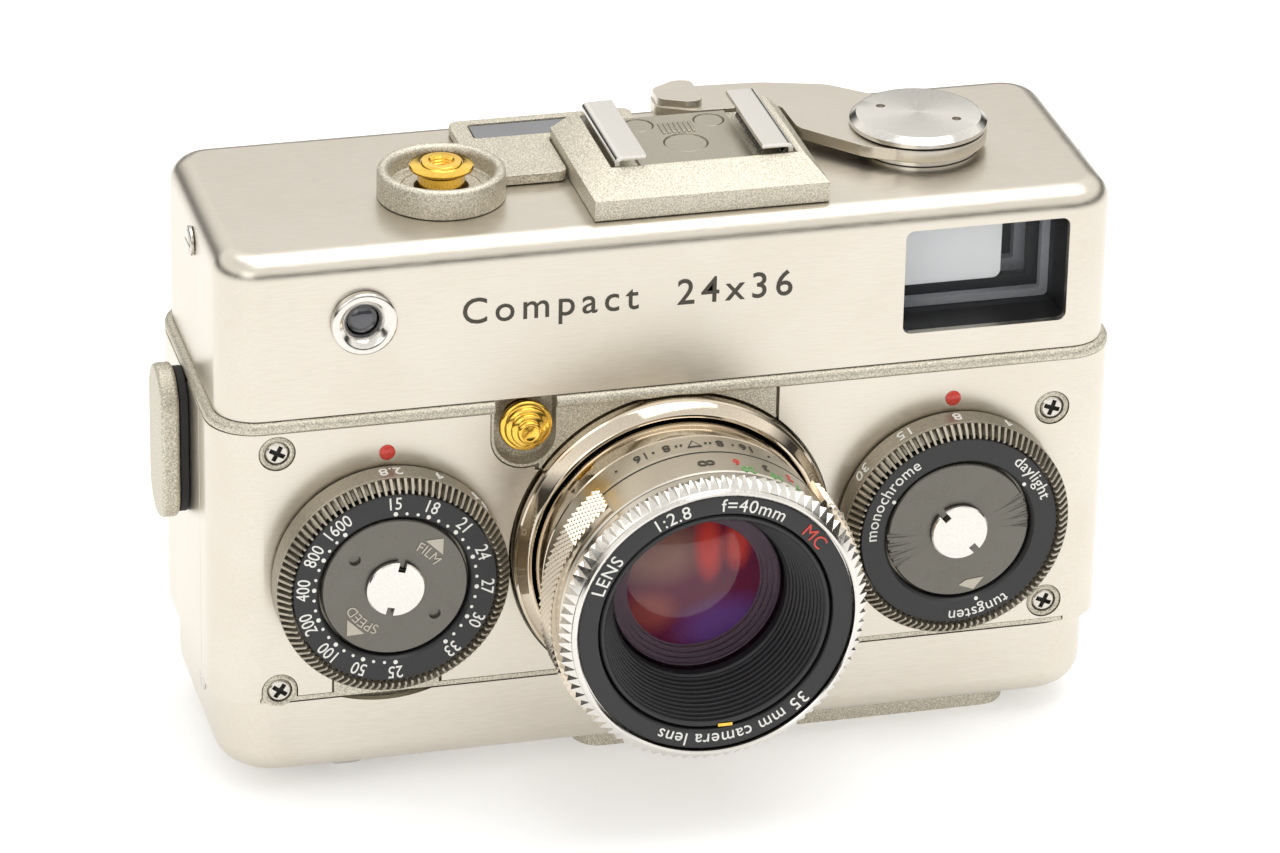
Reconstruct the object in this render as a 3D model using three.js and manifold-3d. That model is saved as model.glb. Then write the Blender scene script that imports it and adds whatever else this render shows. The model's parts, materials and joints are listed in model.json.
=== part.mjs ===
// A compact collapsible-lens 35 mm viewfinder camera, as an assembly of separate parts.
// Millimetres. +X is the right-hand side seen from the front, the lens faces -Y, +Z is up.
// The origin lies on the underside of the base platform, in the middle plane of the lens.
import * as THREE from 'three';
import { mergeVertices } from 'three/addons/utils/BufferGeometryUtils.js';
import Module from 'manifold-3d';

const wasm = await Module();
wasm.setup();

// ---------------------------------------------------------------- driving dimensions
const GAP = 0.1; // between parts that are fastened together
const SHEET = 0.85; // wall of the pressed covers

const BODY = { halfX: 49.4, halfY: 16.0, corner: 5.3, bottom: 11.6, top: 43.4 };
const COVER = { halfX: 48.5, halfY: 15.9, corner: 4.5, edge: 2.5, bottom: 44.9, top: 63.1 };
const BASE = { halfX: 48.5, halfY: 15.9, corner: 6.5, edge: 3.0, bottom: 2.4, top: 11.5 };
const BELT = { halfX: 49.4, halfY: 16.4, bottom: 43.5, top: 44.8 };
const CORE = { halfX: 48.3, front: -15.0, back: 11.4, underside: 4.9 };
const SEAM_Y = -8.05; // the front panels wrap round the sides as far as this seam
const RAISED_Y = -15.8; // front of the cast ribs that show between the panels

const AXIS_Z = 26.2; // height of the lens axis and of both dials
const DIAL_X = 30.9;
const DIAL_R = 12.5;
const LENS_HOLE_R = 17.6;
const TUNNEL_R = 16.2;
const TUBE_R = 15.5;
const CHAMBER = { x: 34.2, y: -2.0, r: 12.5, floor: 5.7, ceiling: 43.9 };
const GATE = { halfX: 18, halfZ: 12 }; // the 36 x 24 mm picture

const RELEASE = { x: -22.3, y: -3.0 };
const WIND = { x: 30.7, y: -0.2 };
const LOCK = { x: -16.0, z: 41.65, pocketX: -16.05, pocketZ: 40.4, pocketR: 3.35 };
const WINDOW = { left: 25.0, right: 43.1, bottom: 48.15, top: 60.05 };
const EYEPIECE = { x: 34.0, z: 54.0, halfX: 5.2, halfZ: 4.2 };
const CELL = { x: -33.4, z: 55.4, r: 3.5 };
const SHOE = { left: -8.2, right: 17.2, front: -13.3, back: 6.8, centre: 4.8, floor: 65.7 };
const PLATFORM = { left: -9, right: 40, halfY: 12.3, top: 4.8 };
const TRIPOD = { x: 15.5, y: 0, boreR: 3.2 };
const CRANK = { x: -34.2, y: -2.0, r: 9.4, bottom: 0.7, top: 3.7 };
const LATCH = { x: -17.0, y: -2.0 };
const LUG = { y: 0.55, bottom: 27, top: 44.5, halfY: 3.95, postZ: 38 };
const SCREWS = {
  upper_left: [-42.6, 41.1],
  lower_left: [-42.5, 13.05],
  upper_right: [42.1, 37.8],
  lower_right: [42.3, 14.4],
};
const LOWER_LEFT = SCREWS.lower_left; // this one sits in a tab of the frame
const PLAIN_BOSSES = [SCREWS.upper_left, SCREWS.upper_right, SCREWS.lower_right];
const BOSS_R = 1.85; // cast bosses round the panel screws
const HEAD_R = 1.25;

// ---------------------------------------------------------------- finishes
const finish = (color, roughness, metalness, extra = {}) =>
  new THREE.MeshStandardMaterial({ color, roughness, metalness, ...extra });
const satin = finish(0xd3cbbb, 0.35, 0.9);
const grainy = finish(0xb9b09c, 0.6, 0.6);
const polished = finish(0xd0c3ad, 0.12, 1.0);
const bright = finish(0xdcdad4, 0.15, 1.0);
const anodised = finish(0x45423b, 0.4, 0.6);
const discGrey = finish(0x67645c, 0.4, 0.6);
const black = finish(0x1b1c1e, 0.5, 0.2);
const gold = finish(0xd9a521, 0.25, 1.0);
const rubber = finish(0x16191c, 0.85, 0.0);
const cast = finish(0x9a968c, 0.55, 0.7);
const glass = finish(0x9db0bd, 0.05, 0.0, { transparent: true, opacity: 0.4 });
const coated = finish(0x5c1f3f, 0.05, 0.1, { transparent: true, opacity: 0.6 });

// ---------------------------------------------------------------- shapes and booleans
// A closed manifold from any closed three.js geometry, whichever way its faces run.
function solid(geometry) {
  geometry.deleteAttribute('normal');
  geometry.deleteAttribute('uv');
  const merged = mergeVertices(geometry, 1e-5);
  const vertProperties = new Float32Array(merged.attributes.position.array);
  const kept = [];
  let volume = 0;
  const corner = (i) => new THREE.Vector3().fromArray(vertProperties, 3 * i);
  for (let i = 0; i < merged.index.count; i += 3) {
    const [a, b, c] = [0, 1, 2].map((k) => merged.index.getX(i + k));
    if (a === b || b === c || c === a) continue;
    kept.push([a, b, c]);
    volume += corner(a).dot(corner(b).cross(corner(c)));
  }
  const triVerts = new Uint32Array(kept.flatMap(([a, b, c]) => (volume < 0 ? [a, c, b] : [a, b, c])));
  return new wasm.Manifold(new wasm.Mesh({ numProp: 3, vertProperties, triVerts }));
}

const cut = (body, ...tools) => tools.reduce((left, tool) => left.subtract(tool), body);
const join = (body, ...others) => others.reduce((left, other) => left.add(other), body);

function box(x0, x1, y0, y1, z0, z1) {
  const geometry = new THREE.BoxGeometry(x1 - x0, y1 - y0, z1 - z0);
  return solid(geometry.translate((x0 + x1) / 2, (y0 + y1) / 2, (z0 + z1) / 2));
}

// Cylinders: along Z at (x, y), along Y at (x, z) and along X at (y, z).
function rodZ(x, y, r, z0, z1, sides = 20) {
  const geometry = new THREE.CylinderGeometry(r, r, z1 - z0, sides).rotateX(Math.PI / 2);
  return solid(geometry.translate(x, y, (z0 + z1) / 2));
}
function rodY(x, z, r, y0, y1, sides = 20) {
  return solid(new THREE.CylinderGeometry(r, r, y1 - y0, sides).translate(x, (y0 + y1) / 2, z));
}
function rodX(y, z, r, x0, x1, sides = 14) {
  const geometry = new THREE.CylinderGeometry(r, r, x1 - x0, sides).rotateZ(Math.PI / 2);
  return solid(geometry.translate((x0 + x1) / 2, y, z));
}

// Turned parts: a profile of [radius, position along the axis], closed on itself or on the axis.
function turnedY(profile, sides = 24) {
  const points = profile.map(([r, along]) => new THREE.Vector2(r, along));
  if (points[0].x > 0 || points.at(-1).x > 0) points.push(points[0].clone());
  return solid(new THREE.LatheGeometry(points, sides));
}
function turnedZ(profile, sides = 20) {
  const points = profile.map(([r, along]) => new THREE.Vector2(r, along));
  if (points[0].x > 0 || points.at(-1).x > 0) points.push(points[0].clone());
  return solid(new THREE.LatheGeometry(points, sides).rotateX(Math.PI / 2));
}

function roundedRectangle(halfX, halfY, corner, centreY = 0) {
  const shape = new THREE.Shape();
  const arcs = [
    [halfX - corner, halfY - corner, 0],
    [corner - halfX, halfY - corner, 1],
    [corner - halfX, corner - halfY, 2],
    [halfX - corner, corner - halfY, 3],
  ];
  for (const [x, y, quarter] of arcs) {
    shape.absarc(x, y + centreY, corner, (quarter * Math.PI) / 2, ((quarter + 1) * Math.PI) / 2, false);
  }
  return shape;
}

// A prism with rounded upright corners, and round edges at both ends when edge is given.
function prism({ halfX, halfY, corner, bottom, top, edge = 0, centreY = 0 }, segments = 3) {
  const shape = roundedRectangle(halfX, halfY, corner, centreY);
  const options = { depth: top - bottom - 2 * edge, curveSegments: segments, bevelEnabled: edge > 0 };
  if (edge > 0) {
    Object.assign(options, { bevelThickness: edge, bevelSize: edge, bevelOffset: -edge, bevelSegments: 2 });
  }
  return solid(new THREE.ExtrudeGeometry(shape, options).translate(0, 0, bottom + edge));
}

// The outline of a shape drawn in X and Z, standing from y0 to y1.
function standing(shape, y0, y1, segments = 3) {
  const options = { depth: y1 - y0, bevelEnabled: false, curveSegments: segments };
  const geometry = new THREE.ExtrudeGeometry(shape, options);
  return solid(geometry.rotateX(Math.PI / 2).translate(0, y1, 0));
}
function lying(shape, z0, z1, segments = 3) {
  const options = { depth: z1 - z0, bevelEnabled: false, curveSegments: segments };
  const geometry = new THREE.ExtrudeGeometry(shape, options);
  return solid(geometry.translate(0, 0, z0));
}
function polygon(points) {
  return new THREE.Shape(points.map(([a, b]) => new THREE.Vector2(a, b)));
}

// ---------------------------------------------------------------- the assembly
const camera = new THREE.Group();
function group(parent, x, y, z) {
  const made = new THREE.Group();
  made.position.set(x, y, z);
  parent.add(made);
  return made;
}
function add(parent, name, manifold, material) {
  const { vertProperties, triVerts } = manifold.getMesh();
  const geometry = new THREE.BufferGeometry();
  geometry.setAttribute('position', new THREE.BufferAttribute(vertProperties, 3));
  geometry.setIndex(new THREE.BufferAttribute(triVerts, 1));
  geometry.computeVertexNormals();
  const mesh = new THREE.Mesh(geometry, material);
  mesh.name = name;
  parent.add(mesh);
}

// ---------------------------------------------------------------- cast frame
// The pocket of the lens lock: round below, open at the top, through the belt.
function lockPocket(r, y0, y1, top) {
  const round = rodY(LOCK.pocketX, LOCK.pocketZ, r, y0, y1, 16);
  return join(round, box(LOCK.pocketX - r, LOCK.pocketX + r, y0, y1, LOCK.pocketZ, top));
}
// The rounded tab that carries the lower left screw.
function screwTab(r, y0, y1) {
  const [x, z] = LOWER_LEFT;
  const round = cut(rodY(x, z, r, y0, y1, 16), box(x - r, x + r, y0 - 1, y1 + 1, 0, BODY.bottom));
  return join(round, box(x - r, x + r, y0, y1, BODY.bottom, z));
}

function chassis() {
  const depth = CORE.back - CORE.front;
  const middle = (CORE.back + CORE.front) / 2;
  const upper = prism({
    halfX: CORE.halfX, halfY: depth / 2, corner: 4.2, centreY: middle,
    bottom: BODY.bottom, top: BELT.bottom + 0.2,
  });
  const lower = prism({
    halfX: 47.0, halfY: depth / 2 - 0.3, corner: 7.0, centreY: middle,
    bottom: CORE.underside, top: BODY.bottom + 0.2,
  });
  const belt = prism({ ...BELT, corner: BODY.corner });
  const raised = join(
    lockPocket(3.65, RAISED_Y, CORE.front + 0.2, BELT.bottom + 0.2),
    box(-14.5, 11.3, RAISED_Y, CORE.front + 0.2, 36.4, BELT.bottom + 0.2),
    screwTab(BOSS_R, RAISED_Y, CORE.front + 0.2),
    box(-44.5, 44.5, RAISED_Y, CORE.front + 0.2, BODY.bottom, BODY.bottom + 0.5),
    box(-36.6, -25.2, RAISED_Y, CORE.front + 0.2, BODY.bottom, 14.6),
    ...PLAIN_BOSSES.map(([x, z]) => rodY(x, z, BOSS_R, RAISED_Y, CORE.front + 0.2, 12)),
  );
  const holes = [-1, 1].flatMap((side) => [
    rodZ(side * CHAMBER.x, CHAMBER.y, CHAMBER.r, CHAMBER.floor, CHAMBER.ceiling, 20),
    box(
      side * CHAMBER.x - CHAMBER.r, side * CHAMBER.x + CHAMBER.r, CHAMBER.y, 20,
      CHAMBER.floor, CHAMBER.ceiling,
    ),
  ]);
  holes.push(
    rodY(0, AXIS_Z, LENS_HOLE_R, -20, -12.9, 24),
    rodY(0, AXIS_Z, TUNNEL_R, -20, 9.0, 24),
    box(-GATE.halfX, GATE.halfX, 8, 20, AXIS_Z - GATE.halfZ, AXIS_Z + GATE.halfZ),
    lockPocket(LOCK.pocketR, -20, -13.9, 50),
    rodY(LOCK.x, LOCK.z, 2.2, -14.5, -10.9, 12),
    rodZ(TRIPOD.x, TRIPOD.y, 5.1, 0, 9.1, 16),
    rodZ(CRANK.x, CRANK.y, 2.5, 0, CHAMBER.floor + 1, 14),
  );
  for (const [x, z] of Object.values(SCREWS)) {
    holes.push(rodY(x, z, 0.9, -20, -12.3, 10), rodY(x, z, HEAD_R + GAP, -20, -15.1, 12));
  }
  return cut(join(upper, lower, belt, raised), ...holes);
}

// ---------------------------------------------------------------- front panels
// The wall of the whole body between the base and the belt, open above and below.
function bodyShell() {
  const { halfX, halfY, corner, bottom, top } = BODY;
  const inner = { halfX: halfX - SHEET, halfY: halfY - SHEET, corner: corner - SHEET };
  return cut(prism(BODY), prism({ ...inner, bottom: bottom - 1, top: top + 1 }));
}
// A pressed sheet wrapped round the front and both sides as far as the seam.
function frontSheet() {
  const shell = bodyShell();
  const lensHole = rodY(0, AXIS_Z, LENS_HOLE_R + GAP, -20, 0, 24);
  const front = cut(shell, box(-60, 60, SEAM_Y, 20, 0, 44), lensHole);
  const fittings = [-1, 1].map((side) => rodY(side * DIAL_X, AXIS_Z, 2.4, -20, 0, 14));
  const bosses = Object.values(SCREWS).map(([x, z]) => rodY(x, z, BOSS_R + GAP, -20, -14, 12));
  return cut(front, ...fittings, ...bosses);
}
function leftFrontPanel() {
  return cut(
    frontSheet(),
    box(-5, 60, -20, 0, 0, 44),
    lockPocket(3.9, -20, 0, 44),
    box(-15.0, 0, -20, 0, 36.3, 44),
    box(LOWER_LEFT[0] - BOSS_R - GAP, LOWER_LEFT[0] + BOSS_R + GAP, -20, -14, 0, LOWER_LEFT[1]),
    box(-36.85, -24.95, -20, -14, 0, 14.8),
    box(-44.6, 0, -20, -14, 0, BODY.bottom + 0.75),
  );
}
function rightFrontPanel() {
  return cut(
    frontSheet(),
    box(-60, 5, -20, 0, 0, 44),
    box(0, 11.6, -20, 0, 34, 44),
    box(0, 44.6, -20, -14, 0, BODY.bottom + 0.75),
  );
}
function panelScrew() {
  const body = turnedY([[0, -12.5], [0.75, -12.5], [0.75, -15.2], [HEAD_R, -15.2], [HEAD_R, -15.8],
    [1.0, -16.0], [0, -16.0]], 12);
  return cut(body, box(-0.8, 0.8, -17, -15.6, -0.2, 0.2), box(-0.2, 0.2, -17, -15.6, -0.8, 0.8));
}

// ---------------------------------------------------------------- top cover and what it carries
function topCover() {
  const outer = cut(prism({ ...COVER, bottom: COVER.bottom - 6 }), box(-60, 60, -20, 20, 30, COVER.bottom));
  const inner = prism({
    halfX: COVER.halfX - SHEET, halfY: COVER.halfY - SHEET, corner: COVER.corner - SHEET, edge: 1.6,
    bottom: COVER.bottom - 6, top: COVER.top - SHEET,
  }, 4);
  return cut(
    outer, inner,
    box(WINDOW.left, WINDOW.right, -20, -10, WINDOW.bottom, WINDOW.top),
    box(EYEPIECE.x - 4.4, EYEPIECE.x + 4.4, 10, 20, EYEPIECE.z - 3.4, EYEPIECE.z + 3.4),
    rodY(CELL.x, CELL.z, 3.0, -20, -10, 16),
    rodZ(RELEASE.x, RELEASE.y, 2.9, 60, 70, 14),
    rodZ(WIND.x, WIND.y, 2.9, 60, 70, 14),
    rodX(-1, 59.4, 1.2, -60, -40, 12),
    rodX(-1, 59.4, 1.2, 40, 60, 12),
  );
}
function viewfinderTunnel() {
  const wall = 0.8;
  const { left, right, bottom, top } = WINDOW;
  const outside = box(left - wall, right + wall, -14.9, 12.4, bottom - wall, top + wall);
  return cut(outside, box(left, right, -20, 11.4, bottom, top), box(30.5, 37.5, 10, 20, 51.5, 56.5));
}
function viewfinderEyepiece() {
  const { x, z, halfX, halfZ } = EYEPIECE;
  const frame = standing(roundedRectangle(halfX, halfZ, 1.2), COVER.halfY + GAP, COVER.halfY + 1.0);
  const neck = standing(roundedRectangle(halfX - 1, halfZ - 1, 0.8), 12.6, COVER.halfY + 0.5);
  return join(frame, neck).translate([x, 0, z]);
}
function meterCellRing() {
  return turnedY([[1.6, -14.4], [2.85, -14.4], [2.85, -16.0], [3.5, -16.0], [3.5, -16.6], [3.2, -16.85],
    [2.6, -16.85], [1.6, -16.2]], 14);
}
function meterPlate() {
  const outline = polygon([[-18.1, -2.4], [-8.4, -2.4], [-8.4, 7.1], [2.0, 7.1], [2.0, 13.0], [-18.1, 13.0]]);
  return cut(
    lying(outline, COVER.top + GAP, 64.3),
    rodZ(RELEASE.x, RELEASE.y, 7.05, 60, 70, 16),
    box(-16.2, -1.0, 8.0, 11.8, 63.6, 70),
  );
}
function accessoryShoe() {
  const { left, right, front, back, floor } = SHOE;
  const rim = { left: left + 2.8, right: right - 1.6, front: front + 4.6, top: 67.0, wall: 65.4 };
  // Four sloping faces are cut from a block: each is a long prism above the slope.
  const above = (points) => lying(polygon(points), -100, 100).rotate([90, 0, 0]);
  const leftSlope = above([[left - 1, rim.wall], [left, rim.wall], [rim.left, rim.top], [rim.left, 80],
    [left - 1, 80]]);
  const rightSlope = above([[right, rim.wall], [right + 1, rim.wall], [right + 1, 80], [rim.right, 80],
    [rim.right, rim.top]]);
  const frontSlope = lying(polygon([[front, rim.wall], [rim.front, rim.top], [rim.front, 80], [front - 1, 80],
    [front - 1, rim.wall]]), -100, 100).rotate([90, 0, 90]);
  const blank = box(left, right, front, back, COVER.top + GAP, rim.top);
  const block = cut(blank, leftSlope, rightSlope, frontSlope);
  const { centre } = SHOE;
  const channel = box(centre - 10.1, centre + 10.1, rim.front + 0.3, back + 5, floor - 0.3, 80);
  const insert = box(centre - 6.2, centre + 6.2, rim.front + 0.1, back, floor - 0.5, floor);
  const seats = shoeContacts().map(({ x, y, r }) => rodZ(x, y, r + GAP, 64.6, 80, 14));
  return cut(join(cut(block, channel), insert), ...seats);
}
function shoeContacts() {
  return [
    { name: 'shoe_contact_centre', x: SHOE.centre, y: -0.8, r: 2.3 },
    { name: 'shoe_contact_left', x: SHOE.centre - 3.9, y: 4.6, r: 1.6 },
    { name: 'shoe_contact_right', x: SHOE.centre + 3.9, y: 4.6, r: 1.6 },
  ];
}
// One folded sheet: a leg in the channel and a lip over it.
function shoeRail(side) {
  const leg = [SHOE.centre + side * 10.0, SHOE.centre + side * 9.4].sort((a, b) => a - b);
  const lip = [SHOE.centre + side * 10.0, SHOE.centre + side * 6.3].sort((a, b) => a - b);
  const [y0, y1] = [SHOE.front + 5.0, SHOE.back - 0.2];
  return join(box(...leg, y0, y1, SHOE.floor - 0.2, 68.4), box(...lip, y0, y1, 67.8, 68.4));
}
function releaseCup() {
  return turnedZ([[2.9, 63.2], [6.8, 63.2], [6.8, 65.9], [6.4, 66.3], [5.9, 66.3], [5.5, 65.9], [5.5, 64.2],
    [2.9, 64.2]]);
}
function releaseButton() {
  return turnedZ([[0, 61.8], [2.5, 61.8], [2.5, 65.9], [3.4, 65.9], [3.4, 66.45], [2.3, 66.6], [2.3, 67.1],
    [1.2, 67.1], [0, 65.6]], 14);
}

// ---------------------------------------------------------------- film winding
function windLever() {
  const outline = polygon([[-2.2, -7.0], [-7.1, -4.7], [-12.9, 1.9], [-13.1, 8.0], [-22.6, 8.4],
    [-26.4, 10.2], [-26.4, 13.4], [-23.2, 15.2], [-13.7, 14.6], [-6.7, 12.6], [-0.7, 7.3], [3, 0]]);
  const tab = polygon([[-26.2, 10.4], [-22.8, 8.8], [-21.4, 9.2], [-21.4, 14.6], [-23.2, 15.0],
    [-26.2, 13.2]]);
  const arm = join(lying(outline, 64.0, 65.3), rodZ(0, 0, 7.4, 64.0, 65.3, 20), lying(tab, 63.6, 66.2));
  return cut(arm, rodZ(0, 0, 2.75, 60, 70, 12));
}
function windHub() {
  const cap = turnedZ([[0, 61.4], [4.5, 61.4], [4.5, 62.0], [2.6, 62.0], [2.6, 65.4], [7.4, 65.4],
    [7.4, 66.0], [6.7, 66.75], [0, 66.75]], 20);
  return cut(cap, rodZ(-3.5, 2.5, 0.5, 66, 70, 8), rodZ(3.5, -2.5, 0.5, 66, 70, 8));
}
function windCollar() {
  return turnedZ([[2.9, 63.2], [6.6, 63.2], [6.6, 63.75], [2.9, 63.75]]);
}
function takeupSpool() {
  return turnedZ([[0, 6.0], [6.6, 6.0], [6.6, 7.0], [4.6, 7.0], [4.6, 42.6], [6.6, 42.6], [6.6, 43.6],
    [0, 43.6]], 12);
}

// ---------------------------------------------------------------- dials
function dialDrum() {
  return turnedY([[2.4, -16.3], [DIAL_R, -16.3], [DIAL_R, -19.6], [DIAL_R - 0.2, -20.6], [11.3, -20.6],
    [11.1, -20.3], [11.1, -18.7], [2.4, -18.7]], 24);
}
function dialRing() {
  return turnedY([[8.1, -18.8], [10.95, -18.8], [10.95, -20.2], [8.1, -20.2]], 20);
}
function dialDisc() {
  return turnedY([[2.4, -18.95], [7.85, -18.95], [7.85, -19.9], [2.4, -19.9]], 16);
}
function dialNut() {
  const body = turnedY([[0, -15.3], [2.1, -15.3], [2.1, -20.15], [3.13, -20.15], [3.13, -20.7],
    [0, -20.7]], 12);
  return cut(body, box(-0.4, 0.4, -22, -20.3, 2.3, 4), box(-0.4, 0.4, -22, -20.3, -4, -2.3));
}

// ---------------------------------------------------------------- lens
function lensBezel() {
  return turnedY([[15.75, -13.0], [17.4, -13.0], [17.4, -17.7], [16.9, -18.3], [16.1, -18.3],
    [15.75, -17.9]], 24);
}
function lensGuideRing() {
  return turnedY([[13.2, -9.4], [15.95, -9.4], [15.95, -6.4], [13.2, -6.4]]);
}
function lensTube() {
  return turnedY([[14.3, -9.6], [TUBE_R, -9.6], [TUBE_R, -26.0], [13.6, -26.0], [13.6, -24.4],
    [14.3, -24.4]], 24);
}
function shutterUnit() {
  return turnedY([[6.5, -24.2], [14.1, -24.2], [14.1, -11.0], [9.0, -11.0], [9.0, -8.4], [7.9, -8.4],
    [7.9, -11.8], [6.5, -11.8]], 16);
}
function rearLens() {
  return turnedY([[0, -11.5], [5, -11.3], [7.7, -10.7], [7.7, -9.4], [5, -8.7], [0, -8.5]], 12);
}
function focusRing() {
  return turnedY([[14.0, -26.3], [16.9, -26.3], [17.1, -26.6], [17.1, -31.1], [16.8, -31.4],
    [14.0, -31.4]], 24);
}
function toothRing() {
  return turnedY([[12.9, -27.0], [13.7, -27.0], [13.7, -31.65], [16.6, -31.65], [16.6, -34.6], [15.8, -35.4],
    [14.9, -35.4], [14.9, -33.9], [12.9, -33.9]], 24);
}
function nameRing() {
  return turnedY([[12.6, -34.1], [14.7, -34.1], [14.7, -35.1], [12.6, -34.8]]);
}
function frontCone() {
  return turnedY([[9.4, -27.4], [12.4, -27.4], [12.4, -34.7], [11.7, -34.7], [9.4, -28.6]], 20);
}
function frontLens() {
  return turnedY([[0, -29.6], [3.5, -29.35], [6.5, -28.7], [9.1, -27.7], [9.1, -26.4], [0, -25.6]], 16);
}
function lockButton() {
  return turnedY([[0, -12.4], [1.9, -12.4], [1.9, -15.4], [2.85, -15.4], [2.85, -16.2], [2.35, -16.2],
    [2.35, -16.8], [1.85, -16.8], [1.85, -17.4], [1.3, -17.4], [1.3, -18.0], [0, -18.0]], 12);
}

// ---------------------------------------------------------------- back, base and underside
function backCover() {
  const shell = bodyShell();
  const slot = box(-60, -40, LUG.y - 1.95, LUG.y + 1.95, LUG.postZ - 2, 44);
  return cut(shell, box(-60, 60, -20, SEAM_Y + GAP, 0, 44), slot);
}
// The platform's outline, grown by margin all round.
function slab(margin, bottom, top) {
  const { left, right, halfY } = PLATFORM;
  const halfX = (right - left) / 2 + margin;
  const shape = prism({ halfX, halfY: halfY + margin, corner: 3 + margin, bottom, top });
  return shape.translate([(left + right) / 2, 0, 0]);
}
function baseCover() {
  const { halfX, halfY, corner, edge, bottom, top } = BASE;
  const outer = cut(prism({ ...BASE, top: top + 8 }), box(-60, 60, -20, 20, top, 40));
  const inner = prism({
    halfX: halfX - SHEET, halfY: halfY - SHEET, corner: corner - SHEET, edge: edge - SHEET,
    bottom: bottom + SHEET, top: top + 8,
  });
  const around = 0.3;
  const platformHole = slab(around, 0, 8);
  return cut(
    outer, inner, platformHole,
    rodZ(CRANK.x, CRANK.y, CRANK.r + 0.4, 0, 8, 20),
    rodZ(LATCH.x, LATCH.y, 1.5, 0, 8, 12),
    rodY(-DIAL_X, AXIS_Z, 15.5, -20, -14, 44),
    rodY(0, AXIS_Z, LENS_HOLE_R + GAP, -20, -12, 28),
  );
}
function basePlatform() {
  return cut(slab(0, 0, PLATFORM.top), rodZ(TRIPOD.x, TRIPOD.y, 4.95, -1, 8, 16));
}
function tripodSocket() {
  const { boreR } = TRIPOD;
  return turnedZ([[0, 8.8], [4.8, 8.8], [4.8, 0.1], [boreR + 0.4, 0.1], [boreR, 0.5], [boreR, 6.8],
    [0, 6.8]], 14);
}
function backLatch() {
  const lever = polygon([[-2.6, 0], [2.6, 0], [2.2, 5.2], [1.2, 6.9], [-1.2, 6.9], [-2.2, 5.2]]);
  const plate = join(lying(lever, 1.3, 2.15), rodZ(0, 0, 3.4, 1.3, 2.15, 16));
  return join(plate, rodZ(0, 0, 1.25, 1.6, 3.6, 12), box(-1.8, 1.8, -0.8, 0.8, 3.45, 3.95));
}
function rewindCrank() {
  const { r, bottom, top } = CRANK;
  const disc = join(
    rodZ(0, 0, r, bottom, top, 20),
    rodZ(0, 0, 2.2, top - 0.5, 9, 12),
    box(-3.2, 3.2, -0.6, 0.6, 8, 10.5),
  );
  // The slot reaches past the hinge, so that the handle's root clears it when it is folded right out.
  const slotEnd = 7.3;
  return cut(disc, box(-2.4, 2.4, -12, slotEnd, 0, 2.25), box(-2.4, 2.4, 3.3, slotEnd, 0, 3.1));
}
function rewindHandle() {
  const bar = box(-2.05, 2.05, -9.0, 4.8, 0.6, 2.0);
  const grip = rodZ(0, -6.6, 1.6, 0.2, 0.8, 12);
  return join(bar, rodX(4.8, 1.7, 1.1, -2.05, 2.05, 12), grip);
}
function pressurePlate() {
  const outline = roundedRectangle(22, 15, 2);
  return standing(outline, 11.9, 12.9).translate([0, 0, AXIS_Z]);
}
// An oblong with round ends, drawn in Y and Z and standing from x0 to x1.
function oblong(halfY, z0, z1, x0, x1) {
  const rounds = join(rodX(LUG.y, z0 + halfY, halfY, x0, x1), rodX(LUG.y, z1 - halfY, halfY, x0, x1));
  return join(rounds, box(x0, x1, LUG.y - halfY, LUG.y + halfY, z0 + halfY, z1 - halfY));
}
function strapLug() {
  const bar = oblong(LUG.halfY, LUG.bottom, LUG.top, -52.5, -50.5);
  return join(bar, rodX(LUG.y, LUG.postZ, 1.6, -51, -48.4, 12));
}
function strapLugPad() {
  const pad = oblong(LUG.halfY - 0.5, LUG.bottom + 0.5, LUG.top - 0.5, -50.4, -49.5);
  return cut(pad, rodX(LUG.y, LUG.postZ, 1.8, -60, -40, 12));
}
function coverScrew(side) {
  const head = rodX(-1, 59.4, 1.6, 0.1, 0.6, 12);
  const body = join(head, rodX(-1, 59.4, 1.0, -2.0, 0.3, 10));
  const placed = side < 0 ? body.mirror([1, 0, 0]) : body;
  return placed.translate([side * COVER.halfX, 0, 0]);
}

// ---------------------------------------------------------------- fixed parts
add(camera, 'chassis', chassis(), grainy);
add(camera, 'left_front_panel', leftFrontPanel(), satin);
add(camera, 'right_front_panel', rightFrontPanel(), satin);
for (const [corner, [x, z]] of Object.entries(SCREWS)) {
  add(group(camera, x, 0, z), `panel_screw_${corner}`, panelScrew(), bright);
}
add(camera, 'top_cover', topCover(), satin);
add(camera, 'top_cover_screw_left', coverScrew(-1), bright);
add(camera, 'top_cover_screw_right', coverScrew(1), bright);
add(camera, 'viewfinder_tunnel', viewfinderTunnel(), black);
add(camera, 'viewfinder_front_lens', box(25.2, 42.9, -11.2, -9.8, 48.35, 59.85), glass);
add(camera, 'viewfinder_eyepiece', viewfinderEyepiece(), black);

const cell = group(camera, CELL.x, 0, CELL.z);
add(cell, 'meter_cell_ring', meterCellRing(), bright);
add(cell, 'meter_cell', turnedY([[0, -14.5], [1.5, -14.5], [1.5, -15.6], [0, -15.8]], 14), black);
add(camera, 'meter_plate', meterPlate(), grainy);
add(camera, 'meter_window', box(-16.05, -1.15, 8.15, 11.65, 63.7, 64.15), glass);

add(camera, 'accessory_shoe', accessoryShoe(), grainy);
add(camera, 'shoe_rail_left', shoeRail(-1), bright);
add(camera, 'shoe_rail_right', shoeRail(1), bright);
for (const { name, x, y, r } of shoeContacts()) {
  add(camera, name, rodZ(x, y, r, 64.7, SHOE.floor - 0.05, 14), bright);
}
add(camera, 'strap_lug', strapLug(), grainy);
add(camera, 'strap_lug_pad', strapLugPad(), rubber);
add(camera, 'battery', rodX(5.5, 53, 6.3, -42, -22), bright);
add(camera, 'pressure_plate', pressurePlate(), black);
add(camera, 'base_platform', basePlatform(), grainy);
add(group(camera, TRIPOD.x, TRIPOD.y, 0), 'tripod_socket', tripodSocket(), bright);

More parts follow.
